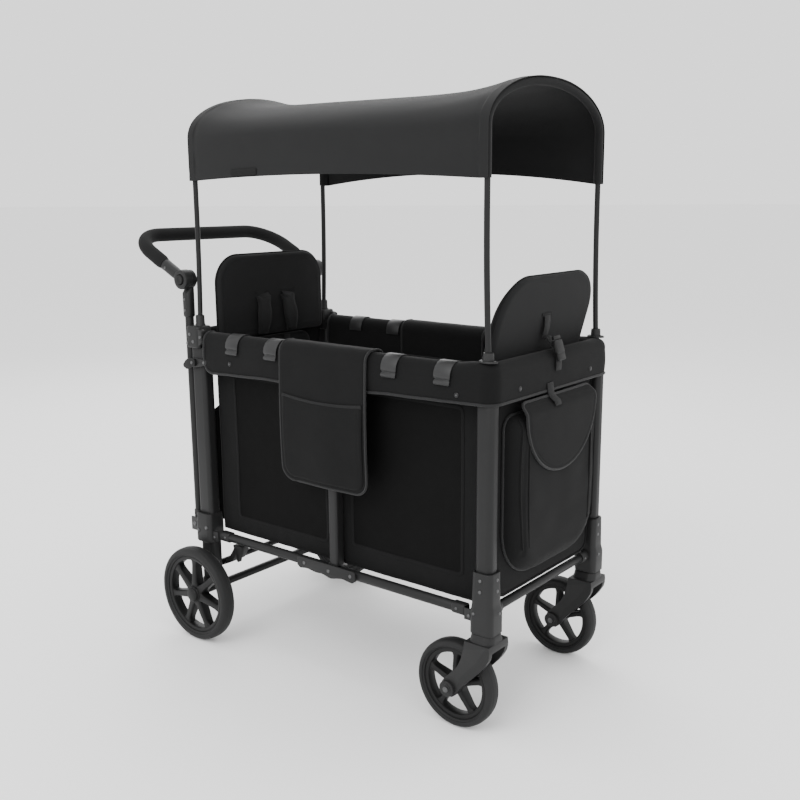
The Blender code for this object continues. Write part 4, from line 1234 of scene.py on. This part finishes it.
# floor
for half, sg in (("rear", -1), ("front", 1)):
    a, b = sorted((sg * 0.380, sg * 0.020))

    def e3(u, v, h):
        return (v, u, 0.2930 + h)
    bm = pad(rounded(0.198, a, b, 0.012, 0.012), a, b, e3, 0.0040, 0.0036, 0.008, 60, 54,
             lambda u, v, d: wrinkle(u, v, 21 + sg, 8, 0.0006),
             (ring_groove(0.020, 0.0009, 0.002),
              lambda u, v, d: 0.0012 * math.exp(-(((u + 0.264) % 0.132 - 0.066) / 0.0025) ** 2) if d > 0.02 else 0.0),
             0.2)
    fl = soft(f"floor_pad_{half}", bm, "inner", f"lower_{half}", f"floor_{half}", "pad_fabric")

# end panels
def panel_edge(nm, z0, z1, half=0.200):
    """Outline of an end panel: the rear one is narrower in its upper part."""
    full = rounded(half, z0, z1, 0.0, 0.030)

    def edge(v):
        w = full(v)[1]
        if nm == "rear":
            w -= (half - 0.155) * smoothstep((v - 0.598) / 0.030)
        return (-w, w)
    return edge


for nm, sg, body, z0 in (("rear", -1, "rear_frame", 0.302), ("front", 1, "front_frame", 0.308)):
    z1 = 0.728 if nm == "rear" else 0.7435
    bm = pad(panel_edge(nm, z0, z1), z0, z1,
             lambda u, v, h, sg=sg: (sg * (0.4481 + h), u, v), 0.0012, 0.0010, 0.003, 60, 60,
             lambda u, v, d, sg=sg: 0.4 * wrinkle(u, v, 31 + sg, 9, 0.0010), (), 0.1)
    o = soft(f"{nm}_panel", bm, "body", body)
    edge = panel_edge(nm, z0, z1, 0.199)
    left = []
    for k in range(72):
        v = z1 - (z1 - z0) * k / 71
        left.append((sg * 0.4488, edge(v)[0], v))
    right = [(x, -y, z) for x, y, z in reversed(left)]
    mid = [(sg * 0.4488, -0.169 + 0.338 * k / 20, z0) for k in range(1, 20)]
    soft(f"{nm}_panel_binding", tube(left + mid + right, 0.0030, 8), "rim", body)

# pockets on both ends
FP = rounded(0.183, 0.342, 0.708, 0.030, 0.115)


def fp3(u, v, h):
    return (0.4498 + h, u, v)


bm = pad(FP, 0.342, 0.708, fp3, 0.0385, 0.0006, 0.042, 70, 70,
         lambda u, v, d: 1.6 * wrinkle(u, v, 41, 7, 0.0016) - 0.006 * math.exp(-((v - 0.60) / 0.10) ** 2) * 0,
         (lambda u, v, d: 0.0022 * math.exp(-((abs(u) - 0.139 - 0.012 * math.sin((v - 0.34) * 8)) / 0.0035) ** 2) if v > 0.40 else 0.0,),
         0.25)
pk = soft("front_pocket", bm, "body", "front_frame")
ring = outline_path(FP, 0.342, 0.708, fp3, 0.0035, 80)
soft("front_pocket_piping", tube(ring, 0.0030, 10), "piping", "front_frame")
lines = []
for sg in (-1, 1):
    for off, r in ((0.151, 0.0021), (0.128, 0.0021)):
        p = []
        for k in range(40):
            z = 0.700 - 0.285 * k / 39
            y = off + 0.010 * math.sin((z - 0.40) * 9) * (1 if off > 0.14 else 0.6)
            d = min(0.183 - y, 0.042)
            hh = 0.0385 * math.sqrt(max(0.0, 1 - (1 - d / 0.042) ** 2))
            top = smoothstep((0.708 - z) / 0.040)
            low = smoothstep((z - 0.342) / 0.05)
            hh = min(hh, 0.0385 * math.sqrt(max(0.0, 1 - (1 - min(1, (0.708 - z) / 0.042)) ** 2)))
            p.append((0.4498 + hh + 0.0004, sg * y, z))
        lines.append(tube(p, r, 8))
soft("front_pocket_seams", join_bm(*lines), "rim", "front_frame")


def fl_edge(v):
    t = min(1.0, max(0.0, (0.716 - v) / 0.150))
    w = 0.148 * math.sqrt(max(0.0, 1 - t ** 2.15))
    if v > 0.716:
        q = (v - 0.716) / 0.018
        w = 0.148 - 0.018 + 0.018 * math.sqrt(max(0.0, 1 - q * q))
    return -w, w


def fl3(u, v, h):
    roll = 0.0095 * smoothstep((v - 0.700) / 0.034) ** 2
    dome = 0.0035 * (1 - (u / 0.16) ** 2)
    return (0.4905 - roll * 1.9 + h + dome * 0.3, u, v)


bm = pad(fl_edge, 0.566, 0.734, fl3, 0.0026, 0.0016, 0.006, 60, 60,
         lambda u, v, d: 0.7 * wrinkle(u, v, 51, 10, 0.0010), (ring_groove(0.0080, 0.0008, 0.0016),), 0.5)
fo_ = soft("front_pocket_flap", bm, "body", "front_frame")
path = outline_path(fl_edge, 0.566, 0.734, fl3, 0.0004, 90)
soft("front_flap_piping", tube(path, 0.0031, 10, closed=True), "piping", "front_frame")
tab = [(0.4735, -0.030, 0.762), (0.4748, -0.0298, 0.750), (0.4760, -0.0295, 0.742), (0.4790, -0.029, 0.734),
       (0.4850, -0.0285, 0.7285), (0.4925, -0.028, 0.7235), (0.4950, -0.0275, 0.714)]
soft("front_flap_tab", ribbon(tab, (1, 0, 0.4), 0.026, 0.0018), "strap", "front_frame")

RP = rounded(0.170, 0.332, 0.572, 0.014, 0.055)
bm = pad(RP, 0.332, 0.572, lambda u, v, h: (-0.4498 - h, u, v), 0.0205, 0.0006, 0.030, 60, 50,
         lambda u, v, d: 1.5 * wrinkle(u, v, 61, 8, 0.0016) + 0.0012 * math.sin(u * 260) * smoothstep((v - 0.54) / 0.03),
         (), 0.25)
pk = soft("rear_pocket", bm, "body", "rear_frame")
soft("rear_pocket_piping", tube(outline_path(RP, 0.332, 0.572, lambda u, v, h: (-0.4515 - h, u, v), 0, 70), 0.0029, 10),
     "piping", "rear_frame")

# inner end pads
for nm, sg, body in (("rear", -1, "rear_frame"), ("front", 1, "front_frame")):
    E = rounded(0.150 if nm == "rear" else 0.195, 0.500, 0.786, 0.030, 0.030)
    bm = pad(E, 0.500, 0.786, lambda u, v, h, sg=sg: (sg * (0.4335 - h), u, v), 0.0135, 0.0125, 0.016, 60, 50,
             lambda u, v, d: 1.2 * wrinkle(u, v, 71 + sg, 9, 0.0012),
             (ring_groove(0.024, 0.0022, 0.003),
              lambda u, v, d: 0.0030 * math.exp(-(abs(abs(u) - 0.066) / 0.003) ** 2) if d > 0.024 else 0.0), 0.35)
    o = soft(f"{nm}_inner_pad", bm, "inner", body, slot="pad_fabric")

# seats
for nm, sg in (("rear", -1), ("front", 1)):
    a, b = sorted((sg * 0.417, sg * 0.190))
    E = rounded(0.190, a, b, 0.030, 0.030)
    S3 = lambda u, v, h: (v, u, 0.4670 + h)
    bm = pad(E, a, b, S3, 0.0165, 0.0165, 0.018, 64, 44,
             lambda u, v, d: 0.0016 * smoothstep(d / 0.09) + 1.3 * wrinkle(u, v, 81 + sg, 9, 0.0012),
             (ring_groove(0.026, 0.0020, 0.003),
              lambda u, v, d: 0.0026 * math.exp(-(u / 0.003) ** 2) if d > 0.026 else 0.0), 0.4)
    o = soft(f"{nm}_seat_cushion", bm, "pad", f"{nm}_seat", f"{nm}_seat", "pad_fabric")
    ring = outline_path(E, a, b, S3, 0.0, 40)
    ra, rb = E(a)
    ring += [S3(rb + (ra - rb) * k / 10, a, 0) for k in range(1, 10)]
    soft(f"{nm}_seat_piping", tube(ring, 0.0027, 10, closed=True), "rim", f"{nm}_seat", slot="pad_fabric")

# backrests
RB = rounded(0.190, 0.7915, 1.0095, 0.072, 0.016)
FB = rounded(0.195, 0.7915, 0.9955, 0.095, 0.016)


def rb3(u, v, h):
    return (-0.4225 + h, u, v)


def fb3(u, v, h):
    x = 0.4042 + 0.23 * (v - 0.790) + 0.05 * max(0.0, v - 0.84)
    return (x - h * 0.975, u, v - h * 0.22)


for nm, E, v1, f3, body in (("rear", RB, 1.0095, rb3, "rear_backrest"), ("front", FB, 0.9955, fb3, "front_backrest")):
    lower = (lambda u, v, d: 0.0018 * math.exp(-((v - 0.845) / 0.003) ** 2) if (d > 0.02 and nm == "rear") else 0.0)
    bm = pad(E, 0.7915, v1, f3, 0.0140, 0.0130, 0.015, 72, 60,
             lambda u, v, d: 0.0010 * smoothstep(d / 0.08) + 1.1 * wrinkle(u, v, 91 if nm == "rear" else 95, 8, 0.0011),
             (ring_groove(0.0135, 0.0018, 0.0026),), 0.4)
    o = soft(f"{nm}_backrest_pad", bm, "pad", body, f"{nm}_backrest", "pad_fabric")
    ring = outline_path(E, 0.7915, v1, lambda u, v, h: f3(u, v, h), 0.0, 80)
    soft(f"{nm}_backrest_piping", tube(ring, 0.0026, 10), "rim", body, slot="pad_fabric")

# harnesses
def harness(nm, sg, f3, top_body, low_body, seat_body):
    """Two padded shoulder straps, their lower webbing, lap belts and a buckle."""
    base = 0.0145
    slots, straps, low = [], [], []
    for e in (-1, 1):
        y0 = e * 0.045

        def sp3(u, v, h, e=e):
            t = (0.898 - v) / 0.100
            lift = base + 0.0035 + 0.008 * math.sin(math.pi * min(1, max(0, t)) * 0.85)
            return f3(e * (0.043 + 0.010 * t) + u, v, lift + h)
        def half_w(v):
            t = min(1, max(0, (0.898 - v) / 0.100))
            return 0.0175 + 0.0085 * math.exp(-(t / 0.16) ** 2) + 0.0070 * math.sin(math.pi * t) ** 2
        bm = pad(lambda v: (-half_w(v), half_w(v)),
                 0.798, 0.898, sp3, 0.0048, 0.0040, 0.007, 16, 34,
                 lambda u, v, d: wrinkle(u, v, 101 + e, 18, 0.0010), (ring_groove(0.005, 0.0008, 0.0012),), 0.3)
        o = soft(f"{nm}_shoulder_pad_{'l' if e > 0 else 'r'}", bm, "strap", top_body, slot="pad_fabric")
        # webbing that folds out of its slot above the pad
        pts, nrm = [], []
        for k in range(13):
            t = k / 12
            v = 0.906 - 0.020 * t
            lift = base - 0.004 + 0.013 * math.sin(math.pi * t * 0.6)
            pts.append(f3(e * (0.047 - 0.004 * t), v, lift))
        straps.append(ribbon(pts, f3(0, 0, 1) and tuple(Vector(f3(0, 0.9, 1)) - Vector(f3(0, 0.9, 0))),
                             [0.046 - 0.010 * k / 12 for k in range(13)], 0.0020))
        slots.append(ribbon([f3(e * 0.020, 0.9070, base), f3(e * 0.047, 0.9075, base), f3(e * 0.076, 0.9070, base)],
                            tuple(Vector(f3(0, 0.9, 1)) - Vector(f3(0, 0.9, 0))), 0.009, 0.0016))
        # lower webbing over the inner pad down to the seat
        pts = []
        for k in range(25):
            t = k / 24
            z = 0.784 - 0.215 * t
            x = sg * (0.4175 - 0.004 * math.sin(math.pi * t) - 0.050 * smoothstep((t - 0.45) / 0.55) ** 1.6)
            pts.append((x, e * (0.050 - 0.040 * smoothstep(t)), z))
        low.append(ribbon(pts, (-sg, 0, 0.15), 0.024, 0.0016))
        pts = []
        for k in range(19):
            t = k / 18
            pts.append((sg * (0.412 - 0.045 * math.sin(math.pi * t / 2)), e * (0.150 - 0.135 * t),
                        0.505 + 0.012 * math.sin(math.pi * t) + 0.060 * t * t))
        low.append(ribbon(pts, (-sg, 0, 0.35), 0.024, 0.0016))
    soft(f"{nm}_harness_top", join_bm(*straps), "strap", top_body, slot="pad_fabric")
    soft(f"{nm}_harness_slots", join_bm(*slots), "inner", top_body, slot="pad_fabric")
    soft(f"{nm}_harness_webbing", join_bm(*low), "strap", low_body, slot="pad_fabric")
    bx = sg * 0.3655
    b = loft([[(bx - sg * dx, p, q) for p, q in rrect(0, 0.570, w, h, 0.010, 7)] for dx, w, h in (
        (-0.006, 0.040, 0.040), (-0.0045, 0.046, 0.046), (0.0045, 0.046, 0.046), (0.0065, 0.040, 0.040))])
    add(f"{nm}_harness_buckle", b, "plastic", low_body, None, "moulded_plastic", 0.001)
    add(f"{nm}_buckle_button", prism(rrect(0, 0.570, 0.020, 0.020, 0.006, 6), "x", *sorted((bx - sg * 0.0062, bx - sg * 0.0084))),
        "casting", low_body, None, "moulded_plastic", 0.0008)
    pts = [(bx + sg * 0.001, 0, 0.552), (bx - sg * 0.002, 0, 0.535), (bx - sg * 0.006, 0, 0.515),
           (bx - sg * 0.009, 0, 0.500), (bx - sg * 0.010, 0, 0.4885)]
    soft(f"{nm}_crotch_strap", ribbon(pts, (-sg, 0, 0.1), 0.026, 0.0020), "strap", low_body, slot="pad_fabric")


harness("rear", -1, rb3, "rear_backrest", "rear_frame", "rear_seat")
harness("front", 1, fb3, "front_backrest", "front_frame", "front_seat")

# strap with a side-release buckle behind the front backrest
def fbo(u, v, h):
    """Outer face of the front backrest."""
    return fb3(u, v, -0.0135 - h)


pts = [fbo(-0.006 + 0.004 * k / 8, 0.905 - 0.048 * k / 8, 0.0012 + 0.0075 * math.sin(math.pi * k / 12)) for k in range(9)]
pts += [(0.4415, -0.0018, 0.8555), (0.4480, -0.0016, 0.8560)]
soft("backrest_strap", ribbon(pts, (1, 0, 0.2), 0.025, 0.0018), "strap", "front_backrest", slot="pad_fabric")
soft("backrest_strap_slot", ribbon([fbo(-0.026, 0.9065, 0.0002), fbo(-0.007, 0.907, 0.0004), fbo(0.012, 0.9065, 0.0002)],
     (1, 0, 0.2), 0.010, 0.0014), "inner", "front_backrest", slot="pad_fabric")
low = [(0.4500, -0.0015, 0.8575), (0.4575, -0.0013, 0.8490), (0.4665, -0.0010, 0.8400), (0.4735, -0.0006, 0.8300),
       (0.4762, -0.0002, 0.8180), (0.4768, 0.0002, 0.8060), (0.4765, 0.0006, 0.7930), (0.4755, 0.0008, 0.7850)]
soft("buckle_strap", ribbon(low, (1, 0, 0.3), 0.024, 0.0018), "strap", "front_frame")
bc = Vector((0.4735, -0.0006, 0.8310))
t = (Vector(low[2]) - Vector(low[5])).normalized()
n_ = Vector((0, 1, 0)).cross(t).normalized()
if n_.x < 0:
    n_ = -n_
w_ = t.cross(n_)


def bp(a, b, c):
    return tuple(bc + w_ * a + t * b + n_ * (c + 0.0035))


socket = loft([[bp(a, b, c) for a, b in rrect(0, 0.0055, ww, hh, 0.006, 6)] for c, ww, hh in (
    (-0.0045, 0.030, 0.026), (-0.0030, 0.0345, 0.0305), (0.0030, 0.0345, 0.0305), (0.0048, 0.029, 0.025))])
plug = loft([[bp(a, b, c) for a, b in rrect(0, -0.0165, ww, hh, 0.004, 6)] for c, ww, hh in (
    (-0.0035, 0.030, 0.014), (-0.0025, 0.0325, 0.0165), (0.0022, 0.0325, 0.0165), (0.0036, 0.028, 0.013))])
arms = [loft([[bp(e * 0.0165 + a, b, c) for a, b in rrect(0, 0.004, ww, hh, 0.0018, 5)] for c, ww, hh in (
    (-0.0020, 0.0045, 0.016), (0.0020, 0.0045, 0.016))]) for e in (-1, 1)]
ladder = loft([[bp(a, b, c) for a, b in rrect(0, 0.0265, ww, hh, 0.003, 5)] for c, ww, hh in (
    (-0.0025, 0.029, 0.008), (0.0025, 0.029, 0.008))])
add("side_release_buckle", join_bm(socket, plug, ladder, *arms), "plastic", "front_frame", None,
    "moulded_plastic", 0.0006)

# ------------------------------------------------------------------ canopy
ARCH_Z, ARCH_H, FOOT = 1.297, 0.097, 0.62


def lean(x, z):
    """The stretched cloth pulls the top of each pole in by a few millimetres."""
    t = min(1.0, max(0.0, (z - 0.835) / 0.30))
    return x - math.copysign(0.0072 * t * (2 - t), x)


def arch_path(x, grow=0.0, steps=40, foot=FOOT):
    half, top = POST_Y + grow, ARCH_H + grow
    pts = [(lean(x, foot + (ARCH_Z - foot) * k / 24), -half, foot + (ARCH_Z - foot) * k / 24) for k in range(24)]
    for i in range(2 * steps + 1):
        a = math.pi - math.pi * i / (2 * steps)
        pts.append((lean(x, ARCH_Z), half * math.cos(a), ARCH_Z + top * math.sin(a)))
    pts += [(lean(x, ARCH_Z - (ARCH_Z - foot) * k / 24), half, ARCH_Z - (ARCH_Z - foot) * k / 24) for k in range(1, 25)]
    return pts


for nm, sg in (("rear", -1), ("front", 1)):
    add(f"look_{nm}_arch", tube(arch_path(sg * POST_X), 0.00635, 20), "pole", f"{nm}_canopy_arch",
        f"{nm}_arch", "canopy_pole")
    body = "front_frame" if sg > 0 else "rear_frame"
    for side, s in SIDES:
        y = s * POST_Y
        if sg > 0:
            fl = loft([[(POST_X + a, y + b, z) for a, b in [(0.0215 * k * math.cos(2 * math.pi * i / 40),
                        0.0150 * k * math.sin(2 * math.pi * i / 40)) for i in range(40)]] for z, k in (
                (0.8298, 1.0), (0.8322, 1.0), (0.8335, 0.94))])
            add(f"pole_flange_{side}", fl, "casting", body, None, "moulded_plastic", 0.0)
            fer = revolve([(0.0076, 0.0), (0.0118, 0.0), (0.0114, 0.012), (0.0106, 0.0165), (0.0076, 0.0168)],
                          (0, 0, 0), 32)
            bmesh.ops.rotate(fer, cent=(0, 0, 0), matrix=Matrix.Rotation(math.radians(90), 3, "X"), verts=fer.verts)
            bmesh.ops.translate(fer, vec=(POST_X, y, 0.8332), verts=fer.verts)
            add(f"pole_ferrule_{side}", fer, "casting", body, None, "moulded_plastic", 0.0)
            for e in (-1, 1):
                button_head((POST_X + e * 0.0162, y, 0.8336), "+z", 0.0026, 0.0012,
                            RN)


def skin(x, grow, a):
    """Canopy skin: x along, grow outside the arch line, a from 0 (one lower edge) to 1."""
    t = min(1.0, abs(x) / 0.424)
    drop = 0.025 * (1 - t ** 5)
    z0 = 1.196 + 0.012 * (1 - t * t) if a < 0.5 else 1.187 + 0.028 * (1 - t * t)
    legs = ARCH_Z - z0
    arc = 0.545
    if a < 0.5:
        L = a * (2 * legs + arc)
    else:
        L = legs + arc / 2 + (a - 0.5) * (2 * legs + arc)
    if L < legs:
        return (x, -(POST_Y + grow), z0 + L), (0, -1, 0)
    if L > legs + arc:
        return (x, POST_Y + grow, ARCH_Z - (L - legs - arc)), (0, 1, 0)
    t = math.pi - math.pi * (L - legs) / arc
    n = Vector((0, math.cos(t) * (ARCH_H + 0.1), math.sin(t) * POST_Y)).normalized()
    return (x, (POST_Y + grow) * math.cos(t), ARCH_Z + (ARCH_H + grow - drop) * math.sin(t)), tuple(n)


nx, na = 96, 84
xs = [-0.4452, -0.4443, -0.4425, -0.4395, -0.436, -0.432, -0.4285, -0.4255, -0.4235, -0.4210]
mid = [-0.4210 + 0.842 * k / nx for k in range(1, nx)]
xs = xs + mid + [-x for x in reversed(xs)]


def canopy_h(x, a):
    """How far the cloth stands off its smooth line: tension folds by the arches, seams and hems."""
    e = 0.424 - abs(x)
    h = 0.0
    h += 0.0013 * noise.noise(Vector((x * 5, a * 9, 2.0)))
    if e > 0:
        h += 0.0007 * math.exp(-e / 0.10) * math.sin(a * 58 + 4 * noise.noise(Vector((x * 3, a * 3, 0))))
        h -= 0.0012 * math.exp(-((e - 0.002) / 0.0022) ** 2)
    hem = min(a, 1 - a) * 0.74
    h -= 0.0008 * math.exp(-((hem - 0.0165) / 0.0016) ** 2)
    return h


bm = bmesh.new()
lay = []
for g, sgn in ((0.0114, 1), (0.0098, -1)):
    rows = []
    for x in xs:
        row = []
        for k in range(na + 1):
            a = k / na
            (px, py, pz), n = skin(x, g, a)
            h = canopy_h(x, a)
            if abs(x) < 0.422:
                p = Vector((px, py, pz)) + Vector(n) * h
            else:
                p = Vector((px, py, pz)) + Vector(n) * min(h, 0.0)
            row.append(bm.verts.new(p))
        rows.append(row)
    lay.append(rows)
m = len(xs)
for g, inner_ in ((lay[0], False), (lay[1], True)):
    for i in range(m - 1):
        for k in range(na):
            q = (g[i][k], g[i + 1][k], g[i + 1][k + 1], g[i][k + 1])
            f = bm.faces.new(q[::-1] if inner_ else q)
            f.material_index = 1 if inner_ else 0
for i in range(m - 1):
    for k in (0, na):
        bm.faces.new((lay[0][i][k], lay[0][i + 1][k], lay[1][i + 1][k], lay[1][i][k]))
for k in range(na):
    for i in (0, m - 1):
        bm.faces.new((lay[0][i][k], lay[0][i][k + 1], lay[1][i][k + 1], lay[1][i][k]))
across = sum((Vector(skin(0.2, 0.0106, k / 400)[0]) - Vector(skin(0.2, 0.0106, (k + 1) / 400)[0])).length
             for k in range(400))
can = soft("canopy_cloth", bm, None, "rear_canopy_arch", "canopy", "canopy_fabric", mats=["canopy", "canopy_in"])
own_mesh(can)

# sleeves that hold the arches: a flat tube round each pole
for nm, sg in (("rear", -1), ("front", 1)):
    pts = []
    for k in range(121):
        (px, py, pz), n = skin(sg * (POST_X - 0.0072), 0.0, k / 120)
        pts.append(((px, py, pz), n))
    rows = []
    bmS = bmesh.new()
    ring = []
    for (p, n) in pts:
        P, N = Vector(p), Vector(n)
        X = Vector((1, 0, 0))
        sec = []
        for c, d in ((-0.0150, 0.0052), (-0.0100, 0.0068), (0.0, 0.0079), (0.0052, 0.0079), (0.0070, 0.0066),
                     (0.0072, 0.0010), (0.0062, -0.0056), (0.0025, -0.0080), (-0.0030, -0.0080), (-0.0075, -0.0050),
                     (-0.0110, 0.0010)):
            sec.append(bmS.verts.new(P + X * c * sg + N * d))
        ring.append(sec)
    mm = len(ring[0])
    for a_, b_ in zip(ring, ring[1:]):
        for k in range(mm):
            bmS.faces.new((a_[k], a_[(k + 1) % mm], b_[(k + 1) % mm], b_[k]))
    bmS.faces.new(ring[0])
    bmS.faces.new(ring[-1])
    o = soft(f"canopy_sleeve_{nm}", bmS, "canopy_in", f"{nm}_canopy_arch", slot="canopy_fabric")

# hem along both lower edges, and a blank tag
hems = []
for a in (0.0, 1.0):
    line = []
    for x in [-0.4443 + 0.8886 * k / 90 for k in range(91)]:
        (px, py, pz), n = skin(x, 0.0106, a)
        line.append((px, py, pz + 0.0005))
    hems.append(tube(line, 0.0013, 8))
hm = soft("canopy_hem", join_bm(*hems), "canopy", "rear_canopy_arch", slot="canopy_fabric")
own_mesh(hm)
tg = []
for x in [-0.290 + 0.086 * k / 10 for k in range(11)]:
    (px, py, pz), n = skin(x, 0.0106, 0.0)
    tg.append((px, py - 0.0022, pz + 0.0105))
tag = soft("canopy_tag", ribbon(tg, (0, -1, 0), 0.0150, 0.0010), "tag", "rear_canopy_arch", slot="canopy_fabric")
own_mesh(tag)
if len(RN.verts):
    add("flange_screws", RN, "rivet", "front_frame", None, "frame_tube", smooth=50)
print("soft parts done")


# ------------------------------------------------------------------ stage, light, camera
def stage_mat(name, v, rough=0.9):
    m, nt, b = new_mat(name)
    b.inputs["Base Color"].default_value = (v, v, v, 1)
    b.inputs["Roughness"].default_value = rough
    b.inputs["Specular IOR Level"].default_value = 0.1
    return m


bm = bmesh.new()
bm.faces.new([bm.verts.new(p) for p in ((-90, -90, 0), (90, -90, 0), (90, 90, 0), (-90, 90, 0))])
me = bpy.data.meshes.new("studio_floor")
bm.to_mesh(me)
bm.free()
me.shade_smooth()
floor = bpy.data.objects.new("studio_floor", me)
bpy.context.scene.collection.objects.link(floor)
floor.rotation_euler = (0, 0, math.radians(-37))
me.materials.append(stage_mat("pale_floor", 0.93))

world = bpy.data.worlds.new("studio")
world.use_nodes = True
world.node_tree.nodes["Background"].inputs[0].default_value = (1.0, 1.0, 1.0, 1)
world.node_tree.nodes["Background"].inputs[1].default_value = 1.6
bpy.context.scene.world = world


def area(name, loc, target, size, power, size_y=None):
    li = bpy.data.lights.new(name, "AREA")
    li.energy = power
    li.size = size
    if size_y:
        li.shape = "RECTANGLE"
        li.size_y = size_y
    o = bpy.data.objects.new(name, li)
    bpy.context.scene.collection.objects.link(o)
    o.location = loc
    o.rotation_euler = (Vector(target) - Vector(loc)).to_track_quat("-Z", "Y").to_euler()


area("key", (0.6, -3.6, 3.6), (0.1, 0, 0.6), 3.0, 130)
area("fill", (4.2, -0.8, 2.4), (0.1, 0, 0.6), 3.0, 25)
area("top", (0.0, 0.6, 4.2), (0.1, 0, 0.6), 3.4, 60)
area("back", (-2.8, 2.4, 2.8), (0.0, 0, 0.7), 2.4, 45)

cam_data = bpy.data.cameras.new("camera")
cam = bpy.data.objects.new("camera", cam_data)
bpy.context.scene.collection.objects.link(cam)
cam.location = (1.5493 + SHIFT, -1.8638, 1.1663)
cam.rotation_euler = (math.radians(90 - 11.914), 0, math.radians(36.976))
cam_data.sensor_width = 36.0
cam_data.lens = 44.36
cam_data.shift_x = -0.0481
cam_data.shift_y = 0.00125
cam_data.dof.use_dof = False
bpy.context.scene.camera = cam
